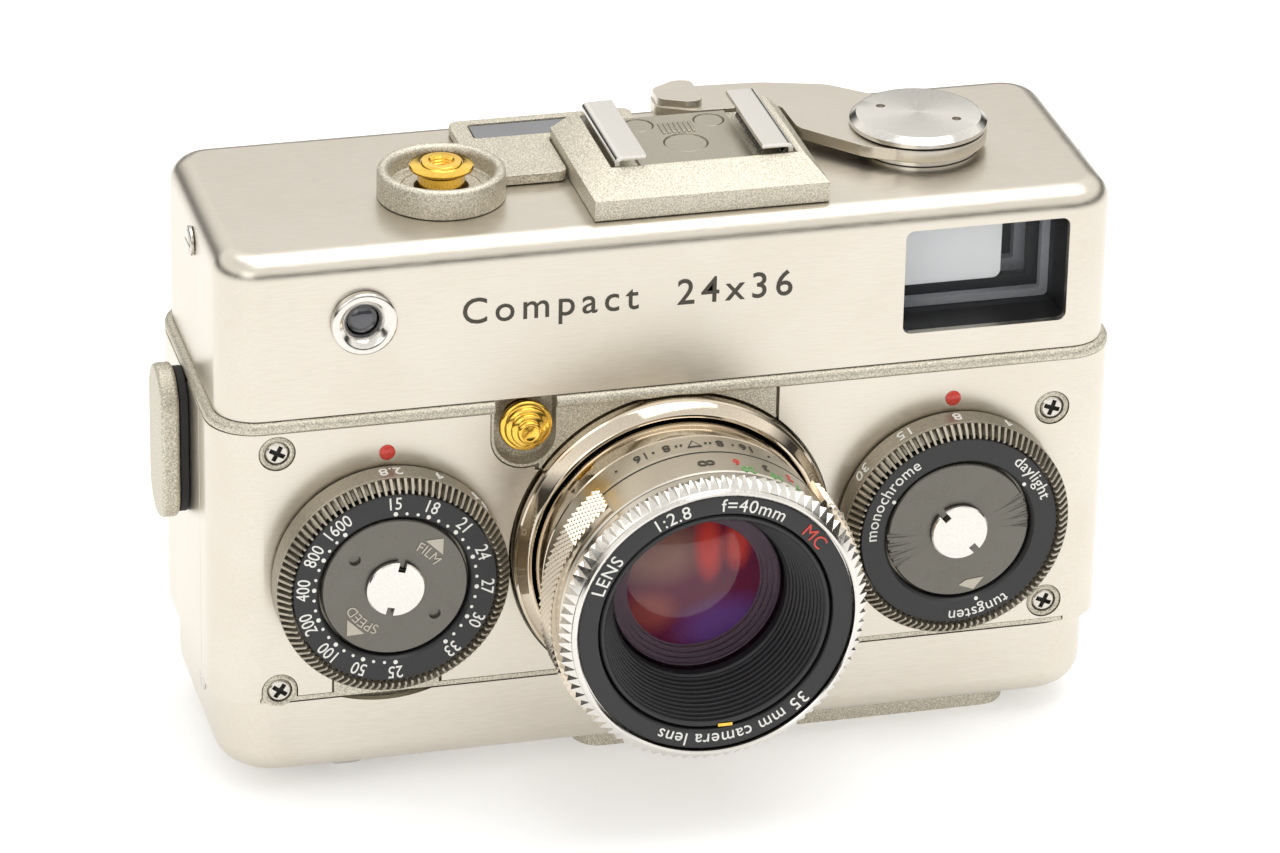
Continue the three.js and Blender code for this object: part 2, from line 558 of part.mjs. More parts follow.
// ---------------------------------------------------------------- release and film winding
const release = group(camera, RELEASE.x, RELEASE.y, 0);
add(release, 'release_cup', releaseCup(), grainy);
add(release, 'release_button', releaseButton(), gold);
const wind = group(camera, WIND.x, WIND.y, 0);
add(wind, 'wind_collar', windCollar(), bright);
add(wind, 'wind_lever', windLever(), satin);
add(wind, 'wind_hub', windHub(), bright);
add(group(camera, CHAMBER.x, CHAMBER.y, 0), 'takeup_spool', takeupSpool(), black);

// ---------------------------------------------------------------- dials
const dials = {
  aperture: { x: -DIAL_X, ring: 'film_speed_ring', disc: 'film_speed_disc' },
  shutter: { x: DIAL_X, ring: 'film_type_ring', disc: 'film_type_disc' },
};
for (const [name, { x, ring, disc }] of Object.entries(dials)) {
  const dial = group(camera, x, 0, AXIS_Z);
  add(dial, `${name}_dial`, dialDrum(), anodised);
  add(dial, ring, dialRing(), black);
  add(dial, disc, dialDisc(), discGrey);
  add(dial, `${name}_dial_nut`, dialNut(), bright);
}

// ---------------------------------------------------------------- lens
const lens = group(camera, 0, 0, AXIS_Z);
add(lens, 'lens_bezel', lensBezel(), polished);
add(lens, 'lens_guide_ring', lensGuideRing(), black);
add(lens, 'lens_tube', lensTube(), polished);
add(lens, 'shutter_unit', shutterUnit(), black);
add(lens, 'rear_lens', rearLens(), glass);
add(lens, 'focus_ring', focusRing(), polished);
add(lens, 'front_tooth_ring', toothRing(), bright);
add(lens, 'name_ring', nameRing(), black);
add(lens, 'front_cone', frontCone(), black);
add(lens, 'front_lens', frontLens(), coated);
add(group(camera, LOCK.x, 0, LOCK.z), 'lens_lock_button', lockButton(), gold);

// ---------------------------------------------------------------- removable back and underside
add(camera, 'back_cover', backCover(), satin);
add(camera, 'base_cover', baseCover(), satin);
add(group(camera, LATCH.x, LATCH.y, 0), 'back_latch', backLatch(), bright);
const crank = group(camera, CRANK.x, CRANK.y, 0);
add(crank, 'rewind_crank', rewindCrank(), anodised);
add(crank, 'rewind_handle', rewindHandle(), cast);

export default camera;
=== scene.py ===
# %% [markdown]
# A compact film camera in satin nickel, finished piece by piece
#
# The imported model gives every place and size, and it stays where it is. Each part that shows is
# made again here with fine edges, real knurls and engraved figures, and rides on the body that
# its plain part belongs to. Shapes are drawn in millimetres, as on a workshop drawing, and are
# brought to metres once, when they are finished.

# %% Load the fixed frame
import json
import math

import bmesh
import bpy
from mathutils import Matrix, Vector


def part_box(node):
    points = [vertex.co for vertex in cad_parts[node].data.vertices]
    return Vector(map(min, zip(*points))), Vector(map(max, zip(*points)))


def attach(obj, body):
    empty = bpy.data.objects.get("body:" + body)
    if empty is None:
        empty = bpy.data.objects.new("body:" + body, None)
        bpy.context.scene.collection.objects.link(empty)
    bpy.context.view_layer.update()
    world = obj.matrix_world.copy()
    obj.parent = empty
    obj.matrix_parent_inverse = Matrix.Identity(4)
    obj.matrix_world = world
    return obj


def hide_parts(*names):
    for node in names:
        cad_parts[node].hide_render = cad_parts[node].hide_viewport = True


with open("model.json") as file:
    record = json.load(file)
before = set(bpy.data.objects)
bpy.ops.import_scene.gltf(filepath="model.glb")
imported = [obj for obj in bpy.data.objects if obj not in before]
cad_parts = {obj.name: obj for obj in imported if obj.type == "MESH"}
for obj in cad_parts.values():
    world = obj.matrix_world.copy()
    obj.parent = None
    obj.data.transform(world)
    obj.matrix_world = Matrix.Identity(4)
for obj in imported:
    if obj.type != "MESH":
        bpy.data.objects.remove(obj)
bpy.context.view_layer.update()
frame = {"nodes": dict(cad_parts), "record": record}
MM = 0.001

# %% [markdown]
# Driving places
#
# A drawing has a few dimensions that the others hang from. They could be typed in again, but the
# frame already has them, so they are read from its boxes.

# %% Driving places from the frame
def span(node):
    low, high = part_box(node)
    return low / MM, high / MM


def middle(node):
    low, high = span(node)
    return (low + high) / 2


AXIS_Z = middle("lens_tube").z
DIAL_X = middle("shutter_dial").x
COVER_LOW, COVER_HIGH = span("top_cover")
PANEL_LOW, PANEL_HIGH = span("back_cover")
BASE_LOW, BASE_HIGH = span("base_cover")
BELT_X, BELT_Y = span("chassis")[1].x, -16.4
BELT_BOTTOM, BELT_TOP = PANEL_HIGH.z + 0.1, span("chassis")[1].z
FRONT_Y = span("left_front_panel")[0].y
SEAM_Y = span("left_front_panel")[1].y
SHEET = 0.85
CUP = middle("release_cup")
HUB = middle("wind_hub")
CHAMBER = middle("takeup_spool")
LOCK = middle("lens_lock_button")
CELL = middle("meter_cell_ring")
TRIPOD = middle("tripod_socket")
CRANK = middle("rewind_crank")
LATCH = Vector((-17.0, -2.0, 0.0))
SCREWS = [middle(f"panel_screw_{c}") for c in ("upper_left", "lower_left", "upper_right", "lower_right")]
print("lens axis at Z", round(AXIS_Z, 2), "dials at X", round(DIAL_X, 2))

# %% [markdown]
# Metal finishes
#
# Satin nickel is blasted, then lightly brushed: its gloss changes in long fine streaks. The cast
# parts wear a metallic lacquer whose flakes catch the light one by one. One function can make
# both, because each is a noise that is stretched one way, which moves colour, gloss and height
# together. A second, slow noise stands for handling.

# %% A function for metal and lacquer
finishes = {}


def link(tree, source, target):
    tree.links.new(source, target)


def noise(tree, stretch, detail=2.0):
    coordinates = tree.nodes.new("ShaderNodeTexCoord")
    mapping = tree.nodes.new("ShaderNodeMapping")
    mapping.inputs["Scale"].default_value = [s / MM for s in stretch]
    texture = tree.nodes.new("ShaderNodeTexNoise")
    texture.inputs["Scale"].default_value = 1.0
    texture.inputs["Detail"].default_value = detail
    link(tree, coordinates.outputs["Object"], mapping.inputs["Vector"])
    link(tree, mapping.outputs["Vector"], texture.inputs["Vector"])
    return texture.outputs["Fac"]


def between(tree, factor, low, high, start=0.35, end=0.65):
    ranged = tree.nodes.new("ShaderNodeMapRange")
    for key, value in zip(("From Min", "From Max", "To Min", "To Max"), (start, end, low, high)):
        ranged.inputs[key].default_value = value
    link(tree, factor, ranged.inputs["Value"])
    return ranged.outputs["Result"]


def surface(name, bright, dim, gloss, stretch, height, metallic=1.0, handling=0.06, coat=0.0):
    """A finish, named after the record's slot where there is one. gloss is the range of roughness, height is in mm."""
    material = bpy.data.materials.new(name)
    material.use_nodes = True
    tree = material.node_tree
    shader = tree.nodes["Principled BSDF"]
    shader.inputs["Metallic"].default_value = metallic
    shader.inputs["Coat Weight"].default_value = coat
    grain = noise(tree, stretch)
    slow = noise(tree, (0.09, 0.09, 0.09), 3.0)
    mix = tree.nodes.new("ShaderNodeMix")
    mix.data_type = "RGBA"
    mix.inputs["A"].default_value = (*dim, 1)
    mix.inputs["B"].default_value = (*bright, 1)
    link(tree, between(tree, grain, 0, 1), mix.inputs["Factor"])
    shade = tree.nodes.new("ShaderNodeMix")
    shade.data_type = "RGBA"
    shade.blend_type = "MULTIPLY"
    shade.inputs["B"].default_value = (0.90, 0.88, 0.85, 1)
    link(tree, between(tree, slow, 0, handling * 5), shade.inputs["Factor"])
    link(tree, mix.outputs["Result"], shade.inputs["A"])
    link(tree, shade.outputs["Result"], shader.inputs["Base Color"])
    link(tree, between(tree, grain, *gloss), shader.inputs["Roughness"])
    bump = tree.nodes.new("ShaderNodeBump")
    bump.inputs["Strength"].default_value = 0.6
    bump.inputs["Distance"].default_value = height * MM
    link(tree, grain, bump.inputs["Height"])
    link(tree, bump.outputs["Normal"], shader.inputs["Normal"])
    finishes[name] = material
    return shader


surface("satin_nickel", (0.70, 0.655, 0.575), (0.655, 0.61, 0.535), (0.28, 0.36), (0.5, 7, 7), 0.0012)
surface("grainy_champagne", (0.80, 0.755, 0.64), (0.40, 0.37, 0.30), (0.40, 0.60), (6, 6, 6), 0.018, 0.8)
surface("smooth_champagne", (0.46, 0.43, 0.36), (0.42, 0.39, 0.325), (0.30, 0.38), (5, 5, 5), 0.0004, 0.9)
surface("polished_nickel", (0.68, 0.60, 0.49), (0.63, 0.55, 0.44), (0.06, 0.10), (6, 0.6, 6), 0.0001)
surface("bright_chrome", (0.74, 0.72, 0.68), (0.69, 0.67, 0.63), (0.12, 0.19), (3, 3, 3), 0.0001)
surface("steel", (0.66, 0.63, 0.58), (0.58, 0.55, 0.50), (0.20, 0.30), (6, 1, 6), 0.0003)
surface("anodised_grey", (0.44, 0.40, 0.325), (0.33, 0.30, 0.24), (0.32, 0.44), (3, 3, 3), 0.002, 0.75)
surface("disc_grey", (0.155, 0.148, 0.13), (0.145, 0.138, 0.12), (0.26, 0.32), (0.5, 0.5, 0.5), 0.0002, 0.7)
surface("black_lacquer", (0.016, 0.0165, 0.018), (0.011, 0.0115, 0.0125), (0.30, 0.42), (6, 6, 6), 0.002, 0.0)
surface("black_plastic", (0.022, 0.022, 0.024), (0.012, 0.012, 0.013), (0.38, 0.55), (7, 7, 7), 0.004, 0.0)
surface("gold_plate", (0.95, 0.62, 0.12), (0.86, 0.52, 0.08), (0.12, 0.20), (2, 7, 7), 0.0002)
surface("black_rubber", (0.022, 0.022, 0.022), (0.012, 0.012, 0.012), (0.65, 0.85), (5, 5, 5), 0.01, 0.0)
surface("white_marks", (0.86, 0.86, 0.82), (0.74, 0.74, 0.70), (0.45, 0.6), (9, 9, 9), 0.001, 0.0)
surface("red_marks", (0.68, 0.05, 0.03), (0.52, 0.03, 0.02), (0.25, 0.4), (6, 6, 6), 0.002, 0.0, coat=0.4)
surface("dark_marks", (0.075, 0.068, 0.052), (0.045, 0.04, 0.03), (0.4, 0.6), (8, 8, 8), 0.002, 0.2)
surface("green_marks", (0.16, 0.42, 0.13), (0.12, 0.34, 0.10), (0.4, 0.5), (9, 9, 9), 0.001, 0.0)
surface("baffle_grey", (0.62, 0.65, 0.70), (0.54, 0.56, 0.61), (0.3, 0.4), (3, 3, 3), 0.001, 0.0)
# dark_gap is near black. It is laid at the floors of slots and grooves as painted shade.
surface("dark_gap", (0.012, 0.011, 0.010), (0.006, 0.006, 0.005), (0.6, 0.8), (6, 6, 6), 0.002, 0.0)
print(len(finishes), "metal, lacquer and ink finishes")

# %% [markdown]
# Turned faces
#
# A lathe leaves fine rings, and they spread each highlight into a fan from the centre. The rings
# are a wave on the distance from the turning axis, used only as height, so they follow the light.

# %% A finish with lathe rings
def lathe_rings(name, like, axis, centre, pitch=0.11, height=0.0035):
    """A copy of a finish with rings round an axis through centre."""
    material = finishes[like].copy()
    material.name = name
    tree = material.node_tree
    shader = tree.nodes["Principled BSDF"]
    coordinates = tree.nodes.new("ShaderNodeTexCoord")
    mapping = tree.nodes.new("ShaderNodeMapping")
    mapping.inputs["Location"].default_value = [-c for c in centre]
    mapping.inputs["Scale"].default_value = (1 / MM,) * 3
    wave = tree.nodes.new("ShaderNodeTexWave")
    wave.wave_type, wave.rings_direction = "RINGS", axis
    wave.inputs["Scale"].default_value = math.pi / 10 / pitch
    bump = tree.nodes.new("ShaderNodeBump")
    bump.inputs["Strength"].default_value = 1.0
    bump.inputs["Distance"].default_value = height * MM
    link(tree, coordinates.outputs["Object"], mapping.inputs["Vector"])
    link(tree, mapping.outputs["Vector"], wave.inputs["Vector"])
    link(tree, wave.outputs["Fac"], bump.inputs["Height"])
    link(tree, bump.outputs["Normal"], shader.inputs["Normal"])
    finishes[name] = material


lathe_rings("turned_hub", "bright_chrome", "Z", HUB)
lathe_rings("turned_nut_left", "bright_chrome", "Y", Vector((-DIAL_X, 0, AXIS_Z)))
lathe_rings("turned_nut_right", "bright_chrome", "Y", Vector((DIAL_X, 0, AXIS_Z)))
print("turned finishes done")

# %% [markdown]
# Glass
#
# Plain windows are clear glass. The front lens has a coating, which throws back red and purple.
# The second lens behind it is dark wine, with soft round patches of brown, violet and red painted
# on it: painted reflections. They are read from object coordinates, so they stay on the lens when
# the lens turns.

# %% Clear and coated glass
def glass(name, tint, clear, ior=1.5, mirror=(1, 1, 1)):
    """Glass that light passes straight through. clear is how much of it passes."""
    shader = surface(name, tint, tint, (0.02, 0.04), (0.4, 0.4, 0.4), 0.0, 0.0)
    shader.inputs["Alpha"].default_value = 1 - clear
    shader.inputs["IOR"].default_value = ior
    shader.inputs["Specular Tint"].default_value = (*mirror, 1)
    return shader


def painted_reflection_glass(name, deep, reflection_patches):
    """Dark coated glass with painted reflections on it. Each patch is a soft round tint: (x, z, half width, half
    height, colour).
    """
    shader = surface(name, deep, deep, (0.05, 0.09), (0.3, 0.3, 0.3), 0.0, 0.0, coat=0.3)
    tree = finishes[name].node_tree
    coordinates = tree.nodes.new("ShaderNodeTexCoord")
    colour = shader.inputs["Base Color"].links[0].from_socket
    for x, z, half_width, half_height, tint in reflection_patches:
        place = tree.nodes.new("ShaderNodeMapping")
        place.inputs["Location"].default_value = (-x / half_width, 0, -(AXIS_Z + z) / half_height)
        place.inputs["Scale"].default_value = (1 / (half_width * MM), 0, 1 / (half_height * MM))
        reflection_falloff = tree.nodes.new("ShaderNodeTexGradient")
        reflection_falloff.gradient_type = "SPHERICAL"
        mix = tree.nodes.new("ShaderNodeMix")
        mix.data_type = "RGBA"
        mix.inputs["B"].default_value = (*tint, 1)
        link(tree, coordinates.outputs["Object"], place.inputs["Vector"])
        link(tree, place.outputs["Vector"], reflection_falloff.inputs["Vector"])
        link(tree, between(tree, reflection_falloff.outputs["Fac"], 0, 1, 0, 0.6), mix.inputs["Factor"])
        link(tree, colour, mix.inputs["A"])
        colour = mix.outputs["Result"]
    link(tree, colour, shader.inputs["Base Color"])


glass("clear_glass", (0.10, 0.11, 0.12), 0.88)
glass("coated_glass", (0.030, 0.004, 0.014), 0.90, 1.75, (1.0, 0.30, 0.36))
# The patches below are painted reflections: brown at the upper left, violet at the lower right, dark red at the lower
# left and red at the upper right.
WINE, REFLECTED_RED, REFLECTED_VIOLET, REFLECTED_BROWN = (0.13, 0.008, 0.045), (0.78, 0.065, 0.045), (0.13, 0.060, 0.30), (0.34, 0.17, 0.13)
painted_reflection_glass("deep_glass", WINE, [(-4.4, 4.6, 6.5, 4.6, REFLECTED_BROWN), (3.4, -5.2, 6.5, 4.6, REFLECTED_VIOLET), (-5.0, -2.6, 3.6, 3.2, (0.34, 0.07, 0.06)),
                            (1.4, 4.6, 1.9, 4.4, REFLECTED_RED), (4.6, 4.4, 1.9, 3.4, REFLECTED_RED)])
surface("smoked_glass", (0.060, 0.062, 0.075), (0.045, 0.047, 0.058), (0.05, 0.09), (0.4, 0.4, 0.4), 0.0, 0.0, coat=1.0)
surface("violet_black", (0.105, 0.078, 0.108), (0.095, 0.070, 0.098), (0.45, 0.55), (2, 2, 2), 0.0, 0.0)
# window_glass is pale and glows faintly, though it is no lamp: painted light for the light that comes in at the
# finder's back window.
bright = surface("window_glass", (0.93, 0.95, 0.95), (0.86, 0.89, 0.90), (0.05, 0.09), (0.12, 0.5, 0.06), 0.0, 0.0, coat=1.0)
bright.inputs["Emission Color"].default_value = (0.93, 0.96, 1.0, 1)
bright.inputs["Emission Strength"].default_value = 0.25
print("glass finishes added:", len(finishes))

# %% [markdown]
# Plain finishes for the parts that stay
#
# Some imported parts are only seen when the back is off. Their shape is right as it is, so they
# keep their mesh and only take the finish that the record names.

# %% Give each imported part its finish
slot_of = {row["node"]: row["material_slot"] for row in frame["record"]["subparts"]}
for node, part in frame["nodes"].items():
    part.data.materials.clear()
    part.data.materials.append(finishes[slot_of[node]])
print("finishes on", len(slot_of), "packed parts")

# %% [markdown]
# The workbench: stock, turning and cutting
#
# A machinist starts from bar and plate. Here a brick is a cube, a slab is a cube with rounded
# uprights and edges, a rod is a cylinder, and anything round with a profile is spun like work in a
# lathe. Openings are cut with a Boolean, which is applied at once, so that no cutter is left over.

# %% Stock shapes
def brick(x0, x1, y0, y1, z0, z1):
    shape = bmesh.new()
    size = (x1 - x0, y1 - y0, z1 - z0)
    bmesh.ops.create_cube(shape, size=1.0)
    bmesh.ops.scale(shape, vec=size, verts=shape.verts)
    bmesh.ops.translate(shape, vec=((x0 + x1) / 2, (y0 + y1) / 2, (z0 + z1) / 2), verts=shape.verts)
    return shape


def round_edges(shape, edges, radius, segments):
    bmesh.ops.bevel(shape, geom=edges, offset=radius, offset_type="OFFSET", affect="EDGES",
                    segments=segments, profile=0.5, material=-1, clamp_overlap=True)


def upright(edge):
    a, b = edge.verts
    return abs(a.co.z - b.co.z) > 0.5 * edge.calc_length()


def slab(half_x, half_y, corner, bottom, top, edge_top=0.0, edge_bottom=0.0, centre=(0, 0)):
    x, y = centre
    shape = brick(x - half_x, x + half_x, y - half_y, y + half_y, bottom, top)
    round_edges(shape, [e for e in shape.edges if upright(e)], corner, 10)
    for height, radius in ((top, edge_top), (bottom, edge_bottom)):
        if radius:
            rim = [e for e in shape.edges if all(abs(v.co.z - height) < 1e-4 for v in e.verts)]
            round_edges(shape, rim, radius, 6)
    return shape


TURNS = {"x": Matrix.Rotation(math.pi / 2, 3, "Y"), "y": Matrix.Rotation(-math.pi / 2, 3, "X"),
         "z": Matrix.Identity(3)}


def rod(axis, place, radius, low, high, sides=64, end_radius=None):
    """A cylinder or cone along an axis. place is its centre, of which the axis' own value is unused."""
    shape = bmesh.new()
    bmesh.ops.create_cone(shape, cap_ends=True, segments=sides, radius1=radius,
                          radius2=radius if end_radius is None else end_radius, depth=high - low)
    bmesh.ops.rotate(shape, matrix=TURNS[axis], verts=shape.verts)
    centre = Vector(place)
    centre["xyz".index(axis)] = (low + high) / 2
    bmesh.ops.translate(shape, vec=centre, verts=shape.verts)
    return shape


def turned(axis, place, profile, steps=128):
    """Spin a profile of (radius, place along the axis) once round the axis through place."""
    shape = bmesh.new()
    along = "xyz".index(axis)
    across = 2 if axis == "x" else 0
    points = []
    for radius, position in profile:
        point = Vector(place)
        point[along] = position
        point[across] += radius
        points.append(shape.verts.new(point))
    closed = points if profile[0][0] == 0 and profile[-1][0] == 0 else points + points[:1]
    edges = [shape.edges.new(pair) for pair in zip(closed, closed[1:])]
    direction = Vector((0, 0, 0))
    direction[along] = 1
    bmesh.ops.spin(shape, geom=points + edges, cent=Vector(place), axis=direction, dvec=(0, 0, 0),
                   angle=2 * math.pi, steps=steps, use_merge=True, use_duplicate=False)
    bmesh.ops.remove_doubles(shape, verts=shape.verts, dist=1e-4)
    bmesh.ops.recalc_face_normals(shape, faces=shape.faces)
    return shape


def plate(points, bottom, top, corner=0.0, segments=6):
    """A flat plate with the given outline and rounded corners."""
    shape = bmesh.new()
    face = shape.faces.new([shape.verts.new((x, y, bottom)) for x, y in points])
    risen = bmesh.ops.extrude_face_region(shape, geom=[face])["geom"]
    bmesh.ops.translate(shape, vec=(0, 0, top - bottom),
                        verts=[g for g in risen if isinstance(g, bmesh.types.BMVert)])
    bmesh.ops.recalc_face_normals(shape, faces=shape.faces)
    if corner:
        round_edges(shape, [e for e in shape.edges if upright(e)], corner, segments)
    return shape


print("stock shapes ready")

# %% Cutting, joining and finishing
def boolean(body, tool, operation):
    holders = []
    for part in (body, tool):
        mesh = bpy.data.meshes.new("working")
        bmesh.ops.triangulate(part, faces=[f for f in part.faces if len(f.verts) > 4])
        part.to_mesh(mesh)
        part.free()
        holders.append(bpy.data.objects.new("working", mesh))
        bpy.context.scene.collection.objects.link(holders[-1])
    step = holders[0].modifiers.new("step", "BOOLEAN")
    step.object, step.operation, step.solver = holders[1], operation, "MANIFOLD"
    worked = holders[0].evaluated_get(bpy.context.evaluated_depsgraph_get())
    result = bmesh.new()
    result.from_mesh(worked.to_mesh())
    for holder in holders:
        bpy.data.meshes.remove(holder.data)
    return result


def cut(body, *tools):
    for tool in tools:
        body = boolean(body, tool, "DIFFERENCE")
    return body


def join(body, *others):
    for other in others:
        body = boolean(body, other, "UNION")
    return body


def gather(*shapes):
    """Several separate shapes in one bmesh."""
    whole = bmesh.new()
    for shape in shapes:
        mesh = bpy.data.meshes.new("working")
        shape.to_mesh(mesh)
        shape.free()
        whole.from_mesh(mesh)
        bpy.data.meshes.remove(mesh)
    return whole


def finish_piece(name, shape, finish, body, nodes=(), edge=0.0, angle=38):
    """Soften the sharp edges, bring the shape to metres and let it ride on its body."""
    if edge:
        bmesh.ops.dissolve_limit(shape, angle_limit=math.radians(0.5), verts=shape.verts, edges=shape.edges)
        sharp = [e for e in shape.edges if len(e.link_faces) == 2 and e.calc_face_angle() > math.radians(40)]
        round_edges(shape, sharp, edge, 2)
    bmesh.ops.scale(shape, vec=(MM,) * 3, verts=shape.verts)
    mesh = bpy.data.meshes.new(name)
    shape.to_mesh(mesh)
    shape.free()
    mesh.shade_smooth()
    mesh.set_sharp_from_angle(angle=math.radians(angle))
    mesh.materials.append(finishes[finish])
    piece = bpy.data.objects.new(name, mesh)
    bpy.context.scene.collection.objects.link(piece)
    piece.modifiers.new("even_shading", "WEIGHTED_NORMAL").keep_sharp = True
    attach(piece, body)
    if nodes:
        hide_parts(*nodes)
    return piece


# %% [markdown]
# The cast frame
#
# The frame is one casting. It shows as the belt round the body, as the raised ground between the
# front panels, and as thin rims where the panels stop. Its lens tunnel, film chambers and picture
# gate only show with the back off. It is joined from slabs and then cut, as a casting is machined.

# %% Cast frame
def lock_pocket(radius, front, back, top):
    x, z = LOCK.x - 0.05, LOCK.z - 1.25
    return join(rod("y", (x, 0, z), radius, front, back), brick(x - radius, x + radius, front, back, z, top))


def cast_frame():
    core_front, core_back, raised = -15.0, 11.4, -15.8
    half_y, centre = (core_back - core_front) / 2, (0, (core_back + core_front) / 2)
    body = slab(48.3, half_y, 4.2, PANEL_LOW.z, BELT_BOTTOM + 0.2, centre=centre)
    foot = slab(47.0, half_y - 0.3, 7.0, 4.9, PANEL_LOW.z + 0.2, centre=centre)
    belt = slab(BELT_X, -BELT_Y, 5.4, BELT_BOTTOM, BELT_TOP, 0.75, 0.35)
    low_left = SCREWS[1]
    tab = join(rod("y", low_left, 1.85, raised, core_front + 0.2),
               brick(low_left.x - 1.85, low_left.x + 1.85, raised, core_front + 0.2, PANEL_LOW.z, low_left.z))
    shown = [
        lock_pocket(3.65, raised, core_front + 0.2, BELT_BOTTOM + 0.2),
        brick(-14.5, 11.3, raised, core_front + 0.2, 36.4, BELT_BOTTOM + 0.2),
        brick(-44.5, 44.5, raised, core_front + 0.2, PANEL_LOW.z, PANEL_LOW.z + 0.5),
        brick(-36.6, -25.2, raised, core_front + 0.2, PANEL_LOW.z, 14.6),
        tab,
    ]
    shown += [rod("y", SCREWS[i], 1.85, raised, core_front + 0.2, 48) for i in (0, 2, 3)]
    casting = join(body, foot, belt, *shown)
    tools = []
    for side in (-1, 1):
        x, radius, floor, ceiling = side * abs(CHAMBER.x), 12.5, 5.7, 43.9
        tools.append(rod("z", (x, CHAMBER.y, 0), radius, floor, ceiling, 48))
        tools.append(brick(x - radius, x + radius, CHAMBER.y, 20, floor, ceiling))
    tools += [
        rod("y", (0, 0, AXIS_Z), 17.6, -20, -12.9, 128),
        rod("y", (0, 0, AXIS_Z), 16.2, -20, 9.0, 96),
        brick(-18, 18, 8, 20, AXIS_Z - 12, AXIS_Z + 12),
        lock_pocket(3.35, -20, -13.9, 50),
        rod("y", LOCK, 2.2, -14.5, -10.9, 32),
        rod("z", TRIPOD, 5.1, 0, 9.1, 48),
        rod("z", CRANK, 2.5, 0, 6.7, 32),
    ]
    for screw in SCREWS:
        tools += [rod("y", screw, 0.9, -20, -12.3, 24), rod("y", screw, 1.5, -20, -15.1, 48)]
    return cut(casting, *tools)


finish_piece("cast_frame", cast_frame(), "grainy_champagne", "camera_body", ["chassis"], 0.1)
print("cast frame done")

# %% [markdown]
# Front panels
#
# Two thin nickel sheets cover the front and wrap round the sides to a seam. Each could be bent
# from a plane, but a slab with a smaller slab taken out of it gives both faces and an even wall.

# %% Front panels
def front_sheet(x0, x1):
    inner = PANEL_HIGH.x - SHEET
    shell = slab(PANEL_HIGH.x, -FRONT_Y, 5.3, PANEL_LOW.z, PANEL_HIGH.z)
    hollow = slab(inner, -FRONT_Y - SHEET, 5.3 - SHEET, PANEL_LOW.z - 1, PANEL_HIGH.z + 1)
    openings = [brick(-60, 60, SEAM_Y, 20, 0, 60), rod("y", (0, 0, AXIS_Z), 17.7, -20, 0, 128)]
    openings += [rod("y", screw, 1.95, -20, -14, 48) for screw in SCREWS]
    openings += [rod("y", (side * DIAL_X, 0, AXIS_Z), 2.4, -20, 0, 32) for side in (-1, 1)]
    openings += [brick(-60, x0, -20, 0, 0, 60)] if x0 > -50 else []
    openings += [brick(x1, 60, -20, 0, 0, 60)] if x1 < 50 else []
    return cut(shell, hollow, *openings)


def left_panel():
    low_left = SCREWS[1]
    return cut(front_sheet(-60, -5), lock_pocket(3.75, -20, 0, 60), brick(-15.0, 0, -20, 0, 36.3, 60),
               brick(low_left.x - 1.95, low_left.x + 1.95, -20, -14, 0, low_left.z),
               brick(-36.85, -24.95, -20, -14, 0, 14.8), brick(-44.6, 0, -20, -14, 0, PANEL_LOW.z + 0.65))


def right_panel():
    return cut(front_sheet(5, 60), brick(0, 11.6, -20, 0, 34, 60),
               brick(0, 44.6, -20, -14, 0, PANEL_LOW.z + 0.65))


finish_piece("left_panel_sheet", left_panel(), "satin_nickel", "camera_body", ["left_front_panel"], 0.08)
finish_piece("right_panel_sheet", right_panel(), "satin_nickel", "camera_body", ["right_front_panel"], 0.08)
print("front panels done")

# %% [markdown]
# Top cover
#
# The cover is drawn from one sheet, so its top edge is a soft round and its corners are wider.
# The order of the two bevels matters: first the uprights, then the rim that runs round them.

# %% Top cover
def top_cover():
    half_x, half_y = COVER_HIGH.x, COVER_HIGH.y
    bottom, top = COVER_LOW.z, COVER_HIGH.z
    window_low, window_high = span("viewfinder_front_lens")
    eye_low, eye_high = span("viewfinder_eyepiece")
    outer = slab(half_x, half_y, 4.5, bottom, top, edge_top=2.5)
    inner = slab(half_x - SHEET, half_y - SHEET, 3.65, bottom - 3, top - SHEET, edge_top=1.6)
    window = slab((window_high.x - window_low.x) / 2 + 0.2, (window_high.z - window_low.z) / 2 + 0.2, 0.9,
                  -20, 20, centre=(middle("viewfinder_front_lens").x, 0))
    bmesh.ops.rotate(window, matrix=Matrix.Rotation(math.pi / 2, 3, "X"), verts=window.verts,
                     cent=(middle("viewfinder_front_lens").x, 0, 0))
    bmesh.ops.translate(window, vec=(0, -18, middle("viewfinder_front_lens").z), verts=window.verts)
    half_way = brick(-60, 60, -10, 60, -60, 120)
    window = cut(window, half_way)
    return cut(outer, inner, window,
               brick(eye_low.x + 0.8, eye_high.x - 0.8, 10, 20, eye_low.z + 0.8, eye_high.z - 0.8),
               rod("y", CELL, 3.0, -20, -10, 64), rod("z", CUP, 2.9, 60, 70, 64), rod("z", HUB, 2.9, 60, 70, 64),
               rod("x", (0, -1, 59.4), 1.2, -60, -40, 32), rod("x", (0, -1, 59.4), 1.2, 40, 60, 32))


finish_piece("top_cover_shell", top_cover(), "satin_nickel", "camera_body", ["top_cover"], 0.08)
print("top cover done")

# %% [markdown]
# Back and base shells
#
# They come off together. The base has wide round lower edges, a scoop under the left dial and a
# notch below the lens, where round parts pass close by.

# %% Back and base shells
def back_shell():
    shell = slab(PANEL_HIGH.x, -FRONT_Y, 5.3, PANEL_LOW.z, PANEL_HIGH.z)
    hollow = slab(PANEL_HIGH.x - SHEET, -FRONT_Y - SHEET, 5.3 - SHEET, PANEL_LOW.z - 1, PANEL_HIGH.z + 1)
    lug = middle("strap_lug")
    return cut(shell, hollow, brick(-60, 60, -20, SEAM_Y + 0.1, 0, 60),
               brick(-60, -40, lug.y - 1.95, lug.y + 1.95, 36, 60))


